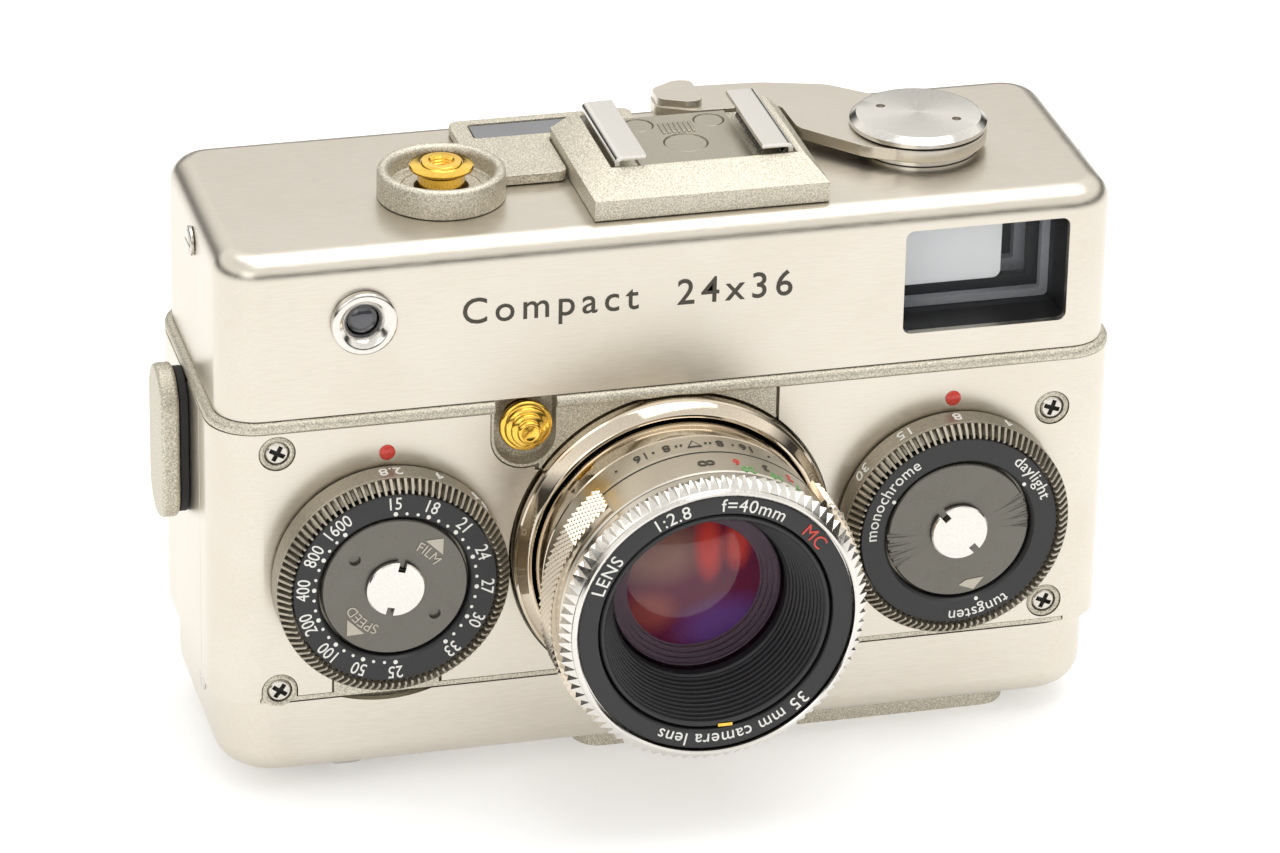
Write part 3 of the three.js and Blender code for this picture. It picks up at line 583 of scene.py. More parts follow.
def base_shell():
    half_x, half_y = BASE_HIGH.x, BASE_HIGH.y
    bottom, top = BASE_LOW.z, BASE_HIGH.z
    plate_low, plate_high = span("base_platform")
    outer = slab(half_x, half_y, 6.5, bottom, top, edge_bottom=3.0)
    inner = slab(half_x - SHEET, half_y - SHEET, 5.65, bottom + SHEET, top + 8, edge_bottom=2.15)
    opening = slab((plate_high.x - plate_low.x) / 2 + 0.3, plate_high.y + 0.3, 3.3, 0, 8,
                   centre=((plate_low.x + plate_high.x) / 2, 0))
    return cut(outer, inner, opening, rod("z", CRANK, 9.8, 0, 8, 96), rod("z", LATCH, 1.5, 0, 8, 32),
               rod("y", (-DIAL_X, 0, AXIS_Z), 15.5, -20, -14, 128), rod("y", (0, 0, AXIS_Z), 17.7, -20, -12, 128))


finish_piece("back_shell", back_shell(), "satin_nickel", "back_unit", ["back_cover"], 0.08)
finish_piece("base_shell", base_shell(), "satin_nickel", "back_unit", ["base_cover"], 0.08)
print("back and base shells done")

# %% [markdown]
# Under the base
#
# The platform, the tripod socket and the rewind crank stay on the camera when the back comes off.
# The thread is drawn as rings, which look the same as a helix when they are this fine.

# %% Platform, socket, crank and latch
def platform():
    low, high = span("base_platform")
    centre = ((low.x + high.x) / 2, 0)
    body = slab((high.x - low.x) / 2, high.y, 3.0, low.z, high.z, edge_bottom=0.3, centre=centre)
    return cut(body, rod("z", TRIPOD, 4.95, -1, 8, 64))


def tripod_bush():
    thread = [(3.2 + 0.25 * (i % 2), 0.9 + 0.45 * i) for i in range(13)]
    return turned("z", (TRIPOD.x, TRIPOD.y, 0),
                  [(0, 8.8), (4.8, 8.8), (4.8, 0.25), (4.65, 0.1), (3.7, 0.1), (3.2, 0.6), *thread, (3.2, 6.8), (0, 6.8)])


def crank_disc():
    x, y = CRANK.x, CRANK.y
    disc = turned("z", (x, y, 0), [(0, 0.7), (9.0, 0.7), (9.4, 1.1), (9.4, 3.5), (9.2, 3.7), (2.2, 3.7),
                                   (2.2, 9.0), (0, 9.0)])
    disc = join(disc, brick(x - 3.2, x + 3.2, y - 0.6, y + 0.6, 8, 10.5))
    return cut(disc, brick(x - 2.4, x + 2.4, y - 12, y + 7.3, 0, 2.25),
               brick(x - 2.4, x + 2.4, y + 3.3, y + 7.3, 0, 3.1))


def crank_handle():
    x, y = CRANK.x, CRANK.y
    bar = slab(2.05, 6.9, 1.4, 0.6, 2.0, centre=(x, y - 2.1))
    return join(bar, rod("x", (0, y + 4.8, 1.7), 1.1, x - 2.05, x + 2.05, 32),
                rod("z", (x, y - 6.6, 0), 1.6, 0.2, 0.8, 48))


def latch():
    x, y = LATCH.x, LATCH.y
    outline = [(-2.6, 0), (2.6, 0), (2.2, 5.2), (1.2, 6.9), (-1.2, 6.9), (-2.2, 5.2)]
    lever = plate([(x + a, y + b) for a, b in outline], 1.3, 2.15, 0.4, 3)
    return join(lever, rod("z", (x, y, 0), 3.4, 1.3, 2.15, 64), rod("z", (x, y, 0), 1.25, 1.6, 3.6, 32),
                brick(x - 1.8, x + 1.8, y - 0.8, y + 0.8, 3.45, 3.95))


finish_piece("platform_plate", platform(), "grainy_champagne", "camera_body", ["base_platform"], 0.12)
finish_piece("tripod_bush", tripod_bush(), "steel", "camera_body", ["tripod_socket"])
finish_piece("crank_disc", crank_disc(), "anodised_grey", "rewind_crank", ["rewind_crank"], 0.12)
finish_piece("crank_handle", crank_handle(), "steel", "rewind_handle", ["rewind_handle"], 0.15)
finish_piece("latch_lever", latch(), "steel", "back_latch", ["back_latch"], 0.12)
print("underside done")

# %% [markdown]
# Screws, boss rings and small round fittings
#
# A cross-head screw sits in a ring that is cast with the frame, with a groove between them, whose
# floor is a near-black ring: painted shade. The head is turned, then two slots are cut across it,
# and a near-black cross in the slots is painted shade for their floors. The same function makes
# every front screw, so all of them match, and each has its own turn, as screws are never lined up.

# %% Screws
def slot_bricks(place, reach, front, back, half_width, turn):
    """Two bricks that cross each other over a screw's centre."""
    bricks = []
    for step in (0, math.pi / 2):
        bar = brick(place.x - reach, place.x + reach, front, back, place.z - half_width, place.z + half_width)
        bmesh.ops.rotate(bar, cent=(place.x, 0, place.z), matrix=Matrix.Rotation(turn + step, 3, "Y"), verts=bar.verts)
        bricks.append(bar)
    return bricks


def cross_screw(place, radius, front, back, turn):
    x, z = place.x, place.z
    head = turned("y", (x, 0, z), [(0, back), (0.75, back), (0.75, front + 0.75), (radius, front + 0.75),
                                   (radius, front + 0.25), (radius - 0.2, front + 0.06), (0, front)], 64)
    return cut(head, *slot_bricks(place, radius * 0.72, front - 1, front + 0.62, 0.25, turn))


corners = ("upper_left", "lower_left", "upper_right", "lower_right")
for corner, place, turn in zip(corners, SCREWS, (0.5, 0.62, 0.35, 0.42)):
    name = f"panel_screw_{corner}"
    finish_piece(f"cross_{name}", cross_screw(place, 1.25, -16.0, -12.5, turn), "steel", "camera_body", [name], 0.04)
    # A near-black cross in the slots: painted shade for the slot floors.
    slot_shades = slot_bricks(place, 0.88, -15.5, -15.3, 0.23, turn)
    finish_piece(f"painted_slot_shade_{corner}", join(*slot_shades), "dark_gap", "camera_body")
    ring = turned("y", (place.x, 0, place.z), [(1.36, -15.9), (1.62, -16.02), (1.85, -15.88), (1.85, -15.4), (1.36, -15.4)], 64)
    finish_piece(f"boss_ring_{corner}", ring, "grainy_champagne", "camera_body")
    # A near-black ring at the floor of the groove round the head: painted shade.
    groove = turned("y", (place.x, 0, place.z), [(1.24, -15.3), (1.5, -15.3), (1.5, -15.12), (1.24, -15.12)], 64)
    finish_piece(f"boss_groove_shade_{corner}", groove, "dark_gap", "camera_body")
print("front screws:", len(corners))

# %% Cover screws, index dots and the meter cell
for side, node in ((-1, "top_cover_screw_left"), (1, "top_cover_screw_right")):
    edge_x = side * COVER_HIGH.x
    profile = [(0, edge_x - side * 2.0), (1.0, edge_x - side * 2.0), (1.0, edge_x + side * 0.1),
               (1.6, edge_x + side * 0.1), (1.6, edge_x + side * 0.4), (1.3, edge_x + side * 0.6), (0, edge_x + side * 0.6)]
    head = turned("x", (0, -1, 59.4), profile, 64)
    slot = brick(min(edge_x + side * 0.3, edge_x + side * 2), max(edge_x + side * 0.3, edge_x + side * 2), -2.4, 0.4, 59.22, 59.58)
    finish_piece(f"slotted_{node}", cut(head, slot), "steel", "camera_body", [node], 0.04)

for side, name in ((-1, "aperture_index"), (1, "shutter_index")):
    dot = turned("y", (side * DIAL_X, 0, AXIS_Z + 13.9),
                 [(0, -15.9), (0.85, -15.9), (0.85, -16.1), (0.7, -16.2), (0, -16.26)], 48)
    finish_piece(name, dot, "red_marks", "camera_body")

cell_ring = [(1.7, -14.4), (2.85, -14.4), (2.85, -16.0), (3.5, -16.0), (3.5, -16.6), (3.42, -16.76), (3.25, -16.85),
             (2.75, -16.85), (2.6, -16.75), (2.3, -16.55), (2.05, -16.3), (1.8, -15.9), (1.7, -15.4)]
finish_piece("cell_ring", turned("y", CELL, cell_ring), "bright_chrome", "camera_body", ["meter_cell_ring"])
window = [(0, -14.5), (1.58, -14.5), (1.58, -15.3), (1.3, -15.55), (0.7, -15.72), (0, -15.78)]
finish_piece("cell_window", turned("y", CELL, window, 64), "smoked_glass", "camera_body", ["meter_cell"])
rivet = [(0, 48.3), (1.5, 48.3), (1.5, 48.6), (1.35, 48.7), (0, 48.72)]
for side, name in ((-1, "left"), (1, "right")):
    profile = [(radius, side * reach) for radius, reach in rivet]
    finish_piece(f"base_rivet_{name}", turned("x", (0, -4.0, 9.3), profile, 48), "steel", "back_unit")
print("small fittings done")

# %% [markdown]
# Shutter release
#
# A lacquered cup with a round lip keeps a finger on the button. The gold button has a flange, and
# a tapered thread in its middle for a cable release. The thread's crests are rings here: at this
# size a true helix looks the same, and rings stay clean in the spun mesh.

# %% Shutter release
cup = [(2.9, 63.2), (6.8, 63.2), (6.8, 65.8), (6.7, 66.1), (6.45, 66.28), (6.15, 66.32), (5.85, 66.22), (5.65, 66.0),
       (5.55, 65.6), (5.5, 64.35), (5.35, 64.2), (4.3, 64.2), (4.2, 64.05), (3.95, 64.05), (3.85, 64.2), (2.9, 64.2)]
finish_piece("release_cup_turned", turned("z", (CUP.x, CUP.y, 0), cup), "grainy_champagne", "camera_body", ["release_cup"])
thread = [(1.12 + 0.16 * ((i + 1) % 2), 66.95 - 0.17 * i) for i in range(8)]
button = [(0, 61.8), (2.5, 61.8), (2.5, 65.7), (2.6, 65.85), (3.2, 66.2), (3.4, 66.3), (3.4, 66.5), (3.3, 66.62),
          (2.9, 66.7), (2.4, 66.74), (2.28, 66.8), (2.22, 66.98), (2.1, 67.08), (1.4, 67.1), *thread, (0.9, 65.6), (0, 65.55)]
finish_piece("release_button_turned", turned("z", (CUP.x, CUP.y, 0), button), "gold_plate", "release_button", ["release_button"])
print("release done")

# %% [markdown]
# Accessory shoe
#
# The shoe is a block with three sloping faces, a channel, and a raised floor. The slopes are plane
# cuts: bisect_plane takes off what is above the plane, and the hole is filled. The rails are sheet
# metal, folded over, so they are a path that is swept, rounded at the fold and thickened.

# %% Shoe body
def sliced(shape, point, normal):
    """Keep what lies below a plane and close the cut."""
    geometry = shape.verts[:] + shape.edges[:] + shape.faces[:]
    made = bmesh.ops.bisect_plane(shape, geom=geometry, plane_co=point, plane_no=normal, clear_outer=True)
    border = [g for g in made["geom_cut"] if isinstance(g, bmesh.types.BMEdge)]
    bmesh.ops.contextual_create(shape, geom=border)
    bmesh.ops.recalc_face_normals(shape, faces=shape.faces)
    return shape


def shoe_body():
    low, high = span("accessory_shoe")
    centre, floor, wall = 4.8, 65.7, 65.4
    rise = high.z - wall
    block = brick(low.x, high.x, low.y, high.y, low.z, high.z)
    sliced(block, (low.x, 0, wall), Vector((-rise, 0, 2.8)))
    sliced(block, (high.x, 0, wall), Vector((rise, 0, 1.6)))
    sliced(block, (0, low.y, wall), Vector((0, -rise, 4.6)))
    channel = brick(centre - 10.1, centre + 10.1, low.y + 4.9, high.y + 5, floor - 0.3, 80)
    insert = brick(centre - 6.2, centre + 6.2, low.y + 4.7, high.y, floor - 0.5, floor)
    seats = [rod("z", middle(f"shoe_contact_{side}"), radius + 0.12, 64.6, 80, 64)
             for side, radius in (("centre", 2.3), ("left", 1.6), ("right", 1.6))]
    return cut(join(cut(block, channel), insert), *seats)


finish_piece("shoe_body", shoe_body(), "grainy_champagne", "camera_body", ["accessory_shoe"], 0.14)
for side, radius in (("centre", 2.3), ("left", 1.6), ("right", 1.6)):
    node = f"shoe_contact_{side}"
    low, high = span(node)
    disc = turned("z", middle(node) * 1, [(0, low.z), (radius, low.z), (radius, high.z - 0.1), (radius - 0.1, high.z), (0, high.z)], 64)
    finish_piece(f"{node}_disc", disc, "smooth_champagne", "camera_body", [node])
ribs = [slab(0.17, 1.35, 0.16, 65.66, 65.86, edge_top=0.1, centre=(3.15 + 0.55 * i, 3.2)) for i in range(7)]
finish_piece("shoe_ribs", gather(*ribs), "smooth_champagne", "camera_body")
seats = [rod("z", middle(f"shoe_contact_{side}"), radius + 0.12, 64, 80, 64)
         for side, radius in (("centre", 2.3), ("left", 1.6), ("right", 1.6))]
floor_sheet = cut(brick(4.8 - 6.15, 4.8 + 6.15, -8.55, 6.75, 65.6, 65.72), *seats)
finish_piece("shoe_floor_sheet", floor_sheet, "smooth_champagne", "camera_body", (), 0.03)
print("shoe body done")

# %% Shoe rails and spring
def folded_sheet(path, low, high, bend, thickness):
    """Sheet metal that follows a path of (x, z) points, from low to high along Y."""
    shape = bmesh.new()
    points = [shape.verts.new((x, low, z)) for x, z in path]
    edges = [shape.edges.new(pair) for pair in zip(points, points[1:])]
    made = bmesh.ops.extrude_edge_only(shape, edges=edges)["geom"]
    bmesh.ops.translate(shape, vec=(0, high - low, 0), verts=[g for g in made if isinstance(g, bmesh.types.BMVert)])
    folds = [e for e in shape.edges if len(e.link_faces) == 2]
    round_edges(shape, folds, bend, 8)
    bmesh.ops.recalc_face_normals(shape, faces=shape.faces)
    bmesh.ops.solidify(shape, geom=shape.faces[:], thickness=thickness)
    bmesh.ops.recalc_face_normals(shape, faces=shape.faces)
    return shape


for side, name in ((-1, "left"), (1, "right")):
    low, high = span(f"shoe_rail_{name}")
    outer = low.x + 0.3 if side < 0 else high.x - 0.3
    inner = high.x if side < 0 else low.x
    path = [(outer, low.z + 0.05), (outer, high.z - 0.3), (inner, high.z - 0.3)]
    rail = folded_sheet(path, low.y, high.y, 0.75, 0.52)
    finish_piece(f"folded_rail_{name}", rail, "bright_chrome", "camera_body", [f"shoe_rail_{name}"], 0.05)

steps = 14
arch = [(11.6 + 2.4 * i / steps, 65.95 + 1.25 * math.sin(math.pi * i / steps)) for i in range(steps + 1)]
spring = folded_sheet(arch, -5.9, 4.6, 0.02, 0.16)
finish_piece("shoe_leaf_spring", spring, "bright_chrome", "camera_body")
print("rails and spring done")

# %% [markdown]
# Meter window plate
#
# A thin lacquered plate beside the shoe holds a long window over the meter needle. Its outline is
# an L whose corners are rounded, with an arc taken out where the release cup stands.

# %% Meter window plate
def meter_plate():
    low, high = span("meter_plate")
    outline = [(low.x, low.y), (-8.4, low.y), (-8.4, 7.1), (high.x, 7.1), (high.x, high.y), (low.x, high.y)]
    sheet = plate(outline, low.z, high.z, 1.1)
    glass_low, glass_high = span("meter_window")
    recess = slab((glass_high.x - glass_low.x) / 2 + 0.15, (glass_high.y - glass_low.y) / 2 + 0.15, 0.5, low.z + 0.4, 70,
                  centre=((glass_low.x + glass_high.x) / 2, (glass_low.y + glass_high.y) / 2))
    return cut(sheet, rod("z", CUP, 7.05, 60, 70, 96), recess)


finish_piece("meter_plate_sheet", meter_plate(), "grainy_champagne", "camera_body", ["meter_plate"], 0.12)
glass_low, glass_high = span("meter_window")
half = (glass_high - glass_low) / 2
pane = slab(half.x, half.y, 0.4, glass_low.z, glass_high.z, edge_top=0.1, centre=(glass_low.x + half.x, glass_low.y + half.y))
finish_piece("meter_pane", pane, "smoked_glass", "camera_body", ["meter_window"])
print("meter plate done")

# %% [markdown]
# Wind lever and its hub
#
# The lever is cut from plate and folded down at its tip for the thumb. The hub above it has a
# polished chamfer, a very shallow cone turned on its face and two holes for a pin spanner.

# %% Wind lever and hub
def wind_lever():
    x, y = HUB.x, HUB.y
    outline = [(-2.2, -7.0), (-7.1, -4.7), (-12.9, 1.9), (-13.1, 8.0), (-22.6, 8.4), (-26.4, 10.2), (-26.4, 13.4),
               (-23.2, 15.2), (-13.7, 14.6), (-6.7, 12.6), (-0.7, 7.3), (3, 0)]
    tip = [(-26.2, 10.4), (-22.8, 8.8), (-21.4, 9.2), (-21.4, 14.6), (-23.2, 15.0), (-26.2, 13.2)]
    arm = plate([(x + a, y + b) for a, b in outline], 64.0, 65.3, 0.9, 5)
    fold = plate([(x + a, y + b) for a, b in tip], 63.6, 66.2, 0.8, 5)
    return cut(join(arm, rod("z", HUB, 7.4, 64.0, 65.3, 128), fold), rod("z", HUB, 2.75, 60, 70, 48))


finish_piece("wind_lever_plate", wind_lever(), "satin_nickel", "wind_lever", ["wind_lever"], 0.16)
hub = [(0, 61.4), (4.5, 61.4), (4.5, 62.0), (2.6, 62.0), (2.6, 65.42), (7.2, 65.42), (7.4, 65.55), (7.4, 66.0),
       (6.72, 66.6), (6.6, 66.62), (0, 66.75)]
hub_shape = cut(turned("z", (HUB.x, HUB.y, 0), hub, 160),
                *[rod("z", (HUB.x + s * 3.5, HUB.y - s * 2.5, 0), 0.5, 66, 70, 24) for s in (-1, 1)])
finish_piece("wind_hub_turned", hub_shape, "turned_hub", "wind_lever", ["wind_hub"], 0.0, 20)
collar = [(2.9, 63.2), (6.6, 63.2), (6.6, 63.6), (6.45, 63.75), (2.9, 63.75)]
finish_piece("wind_collar_turned", turned("z", (HUB.x, HUB.y, 0), collar), "bright_chrome", "camera_body", ["wind_collar"])
print("wind lever done")

# %% [markdown]
# Viewfinder
#
# Behind the window is a black frame that narrows in steps, to keep stray light out, and a pale
# lens at its end, which glows faintly: painted light for the light from the back window. Each
# step is one rectangular ring, set a little further in than the last.

# %% Viewfinder
def standing_slab(across, up, corner, front, back):
    """A slab that faces forward, between two values of x and two of z."""
    half_x, half_z = (across[1] - across[0]) / 2, (up[1] - up[0]) / 2
    shape = slab(half_x, half_z, corner, front, back)
    bmesh.ops.rotate(shape, matrix=Matrix.Rotation(-math.pi / 2, 3, "X"), verts=shape.verts)
    bmesh.ops.translate(shape, vec=(across[0] + half_x, 0, up[0] + half_z), verts=shape.verts)
    return shape


def ring_slab(half_x, half_z, wall, front, back, corner, place):
    outer, inner = [standing_slab((place.x - half_x + w, place.x + half_x - w), (place.z - half_z + w, place.z + half_z - w),
                                  max(corner - w, 0.15), front - w, back + w) for w in (0, wall)]
    return cut(outer, inner)


view_low, view_high = span("viewfinder_front_lens")
view = (view_low + view_high) / 2
tunnel_low, tunnel_high = span("viewfinder_tunnel")
half_x, half_z = (tunnel_high.x - tunnel_low.x) / 2, (tunnel_high.z - tunnel_low.z) / 2
tunnel = join(ring_slab(half_x, half_z, 0.8, tunnel_low.y, 12.4, 0.8, view))
back_wall = cut(brick(tunnel_low.x + 0.4, tunnel_high.x - 0.4, 11.4, 12.4, tunnel_low.z + 0.4, tunnel_high.z - 0.4),
                brick(30.5, 37.5, 10, 20, 51.5, 56.5))
finish_piece("finder_tunnel", join(tunnel, back_wall), "black_plastic", "camera_body", ["viewfinder_tunnel"], 0.06)
for i, front in enumerate((-9.6, -7.2, -4.6, -2.0)):
    step = ring_slab(9.0, 5.9, 0.9 + 0.75 * i, front, front + 1.1, 0.6, view)
    finish_piece(f"finder_baffle_{i + 1}", step, "black_plastic" if i % 2 else "baffle_grey", "camera_body", (), 0.05)
# The pale block in the finder glows faintly: painted light for the back window.
block = standing_slab((25.5, 37.6), (50.9, 59.75), 0.9, -9.8, -8.0)
finish_piece("glowing_finder_block", block, "window_glass", "camera_body", (), 0.1)
lens_pane = standing_slab((view.x - 8.9, view.x + 8.9), (view.z - 5.8, view.z + 5.8), 0.7, -11.2, -9.9)
finish_piece("finder_front_pane", lens_pane, "clear_glass", "camera_body", ["viewfinder_front_lens"], 0.06)
eye_low, eye_high = span("viewfinder_eyepiece")
eye = (eye_low + eye_high) / 2
frame_ring = ring_slab(5.2, 4.2, 1.2, 16.0, eye_high.y, 1.2, eye)
neck = ring_slab(4.2, 3.2, 0.6, eye_low.y, 16.2, 0.8, eye)
finish_piece("finder_eyepiece", join(frame_ring, neck), "black_plastic", "camera_body", ["viewfinder_eyepiece"], 0.12)
rear_pane = standing_slab((eye.x - 3.55, eye.x + 3.55), (eye.z - 2.55, eye.z + 2.55), 0.5, 13.4, 14.4)
finish_piece("finder_rear_pane", rear_pane, "clear_glass", "camera_body", (), 0.05)
print("viewfinder done")

# %% [markdown]
# Strap lug
#
# An oblong bar stands off the side on a post, over a rubber pad. Its outline is two half rounds
# joined by straights, which a slab gives when its corner is half its width.

# %% Strap lug and pad
def oblong(half_y, low, high, x0, x1, edge):
    lug = middle("strap_lug")
    bar = slab((high - low) / 2, half_y, half_y - 0.02, x0, x1, edge, edge)
    bmesh.ops.rotate(bar, matrix=Matrix.Rotation(-math.pi / 2, 3, "Y"), verts=bar.verts)
    xs = [v.co.x for v in bar.verts]
    bmesh.ops.translate(bar, vec=((x0 + x1) / 2 - (min(xs) + max(xs)) / 2, lug.y, (low + high) / 2), verts=bar.verts)
    return bar


lug_low, lug_high = span("strap_lug")
post = rod("x", (0, middle("strap_lug").y, 38), 1.6, -51, lug_high.x, 48)
finish_piece("strap_lug_bar", join(oblong(3.95, lug_low.z, lug_high.z, lug_low.x, -50.5, 0.55), post),
             "grainy_champagne", "camera_body", ["strap_lug"])
pad = cut(oblong(3.5, lug_low.z + 0.5, lug_high.z - 0.5, -50.4, -49.5, 0.15),
          rod("x", (0, middle("strap_lug").y, 38), 1.8, -60, -40, 48))
finish_piece("strap_lug_rubber", pad, "black_rubber", "camera_body", ["strap_lug_pad"])
print("strap lug done")

# %% [markdown]
# Letters and dots on round parts
#
# Figures are filled with paint and stand a hair proud. A font curve gives flat letters with a
# little thickness. They are made a mesh first, then bent: on a dial's face the line of writing
# becomes an arc, and on a drum it becomes part of the round wall.

# %% Letters
def centred(shape):
    for axis in (0, 1):
        values = [v.co[axis] for v in shape.verts]
        move = [0, 0, 0]
        move[axis] = -(min(values) + max(values)) / 2
        bmesh.ops.translate(shape, vec=move, verts=shape.verts)
    return shape


def letters(text, size, thickness=0.12, spacing=1.0, heavy=0.0, narrow=1.0):
    """Flat letters round the origin, size high, with x along the writing and y up."""
    curve = bpy.data.curves.new("working", "FONT")
    curve.body, curve.size, curve.extrude, curve.resolution_u = text, size / 0.72, thickness / 2, 4
    curve.space_character, curve.offset = spacing, heavy
    holder = bpy.data.objects.new("working", curve)
    bpy.context.scene.collection.objects.link(holder)
    worked = holder.evaluated_get(bpy.context.evaluated_depsgraph_get())
    shape = bmesh.new()
    shape.from_mesh(worked.to_mesh())
    bpy.data.curves.remove(curve)
    bmesh.ops.remove_doubles(shape, verts=shape.verts, dist=1e-4)
    bmesh.ops.scale(shape, vec=(narrow, 1, 1), verts=shape.verts)
    return centred(shape)


def flat_shape(points, thickness=0.12, corner=0.0):
    return plate(points, -thickness / 2, thickness / 2, corner, 3)


def round_dot(radius, thickness=0.12):
    return rod("z", (0, 0, 0), radius, -thickness / 2, thickness / 2, 16)


def on_face(shape, centre, radius, angle, front):
    """Bend a flat shape round a centre on a face that looks forward, tops outwards."""
    for vertex in shape.verts:
        turn, reach = math.radians(angle) + vertex.co.x / radius, radius + vertex.co.y
        vertex.co = (centre[0] + reach * math.sin(turn), front - vertex.co.z, centre[2] + reach * math.cos(turn))
    return shape


def on_drum(shape, centre, radius, angle, across):
    """Bend a flat shape round a drum on the Y axis, to be read from behind the camera."""
    for vertex in shape.verts:
        turn, reach = math.radians(angle) - vertex.co.x / radius, radius + vertex.co.z
        vertex.co = (centre[0] + reach * math.sin(turn), across - vertex.co.y, centre[2] + reach * math.cos(turn))
    return shape


print("letter tools ready")

# %% [markdown]
# The two dials
#
# Each dial is a drum with a serrated front edge, a sunk black number ring, a disc that is turned
# with a fingertip and a nut with two notches. The serrations are a hundred grooves. One cutter
# is spun into ninety-nine copies, and all of them are cut away in a single step.

# %% Drums with serrated edges
def ring_of(cutter, centre, count):
    """Copies of a cutter all round the Y axis through centre."""
    bmesh.ops.spin(cutter, geom=cutter.verts[:] + cutter.edges[:] + cutter.faces[:], cent=centre, axis=(0, 1, 0),
                   dvec=(0, 0, 0), angle=2 * math.pi * (count - 1) / count, steps=count - 1, use_duplicate=True)
    return cutter


DRUM = {"back": -16.3, "front": -20.6, "radius": 12.5, "chamfer": -19.45, "rim": 11.25, "floor": -18.55}


def drum(x, shaft_end):
    centre = Vector((x, 0, AXIS_Z))
    radius, rim = DRUM["radius"], DRUM["rim"]
    profile = [(0, shaft_end), (2.1, shaft_end), (2.1, DRUM["back"]), (radius - 0.15, DRUM["back"]),
               (radius, DRUM["back"] - 0.15), (radius, DRUM["chamfer"] + 0.45), (radius - 0.08, DRUM["chamfer"] + 0.4),
               (radius - 0.08, DRUM["chamfer"] + 0.3), (radius, DRUM["chamfer"] + 0.25), (radius, DRUM["chamfer"]),
               (rim + 0.15, DRUM["front"]), (rim, DRUM["front"]), (rim - 0.1, DRUM["front"] + 0.1),
               (rim - 0.1, DRUM["floor"]), (2.1, DRUM["floor"]), (2.1, -20.0), (0, -20.0)]
    body = turned("y", centre, profile, 200)
    slope = math.atan2(DRUM["chamfer"] - DRUM["front"], radius - rim - 0.15)
    cutter = slab(0.24, 0.95, 0.16, -0.24, 2)
    bmesh.ops.rotate(cutter, matrix=Matrix.Rotation(math.pi / 2 - (math.pi / 2 - slope), 3, "X"), verts=cutter.verts)
    bmesh.ops.rotate(cutter, matrix=Matrix.Rotation(math.pi / 2, 3, "X"), verts=cutter.verts)
    middle_r, middle_y = (radius + rim + 0.15) / 2, (DRUM["chamfer"] + DRUM["front"]) / 2
    outward = Vector((0, math.sin(slope) * 0.62, math.cos(slope) * 0.62))
    bmesh.ops.translate(cutter, vec=centre + Vector((0, middle_y, middle_r)) + outward, verts=cutter.verts)
    return cut(body, ring_of(cutter, centre, 100))


SIDES = {"aperture": (-DIAL_X, "film_speed"), "shutter": (DIAL_X, "film_type")}
for name, (x, inner) in SIDES.items():
    body = f"{name}_dial"
    finish_piece(f"{name}_drum", drum(x, span(body)[1].y), "anodised_grey", body, [body], 0.0, 30)
    ring = [(8.1, -18.8), (10.95, -18.8), (10.95, -20.1), (10.85, -20.2), (8.45, -20.2), (8.2, -19.95), (8.1, -19.7)]
    finish_piece(f"{inner}_band", turned("y", (x, 0, AXIS_Z), ring, 160), "black_lacquer", body, [f"{inner}_ring"])
print("drums done")

# %% Discs and nuts
def disc(x):
    profile = [(2.4, -18.95), (7.85, -18.95), (7.85, -19.75), (7.7, -19.9), (2.4, -19.9)]
    return turned("y", (x, 0, AXIS_Z), profile, 160)


def nut(x, turn):
    centre = (x, 0, AXIS_Z)
    profile = [(0, -20.15), (3.13, -20.15), (3.13, -20.5), (3.0, -20.62), (0, -20.72)]
    body = turned("y", centre, profile, 96)
    for side in (0, math.pi):
        notch = brick(x - 0.4, x + 0.4, -21, -20.0, AXIS_Z + 2.1, AXIS_Z + 4)
        bmesh.ops.rotate(notch, cent=centre, matrix=Matrix.Rotation(math.radians(turn) + side, 3, "Y"), verts=notch.verts)
        body = cut(body, notch)
    return body


def dimple(x, angle):
    turn = math.radians(angle)
    return rod("y", (x + 5.6 * math.sin(turn), 0, AXIS_Z + 5.6 * math.cos(turn)), 0.75, -21, -19.45, 32, 0.6)


def flute(x, angle):
    """A groove for the fingertip, that is deeper and wider at the rim."""
    cone = rod("z", (x, -20.05, 0), 0.03, AXIS_Z + 4.7, AXIS_Z + 8.6, 16, 0.62)
    bmesh.ops.rotate(cone, cent=(x, 0, AXIS_Z), matrix=Matrix.Rotation(math.radians(angle), 3, "Y"), verts=cone.verts)
    return cone


speed_disc = cut(disc(-DIAL_X), *[dimple(-DIAL_X, angle) for angle in (-50, 130)])
finish_piece("film_speed_disc_turned", speed_disc, "disc_grey", "film_speed_disc", ["film_speed_disc"])
flutes = [flute(DIAL_X, middle_angle + 8.5 * step) for middle_angle in (77, 257) for step in (-1.5, -0.5, 0.5, 1.5)]
finish_piece("film_type_disc_turned", cut(disc(DIAL_X), *flutes), "disc_grey", "film_type_disc", ["film_type_disc"])
for name, x, turn in (("aperture", -DIAL_X, 15), ("shutter", DIAL_X, -40)):
    side = "left" if x < 0 else "right"
    finish_piece(f"{name}_nut", nut(x, turn), f"turned_nut_{side}", f"{name}_dial", [f"{name}_dial_nut"])
print("discs and nuts done")

# %% [markdown]
# Figures on the dials
#
# The stops and speeds are on the drums' walls, where they are read from above. The film speeds in
# both scales run round the sunk ring, with three dots to a step, and the dot at a figure is larger.

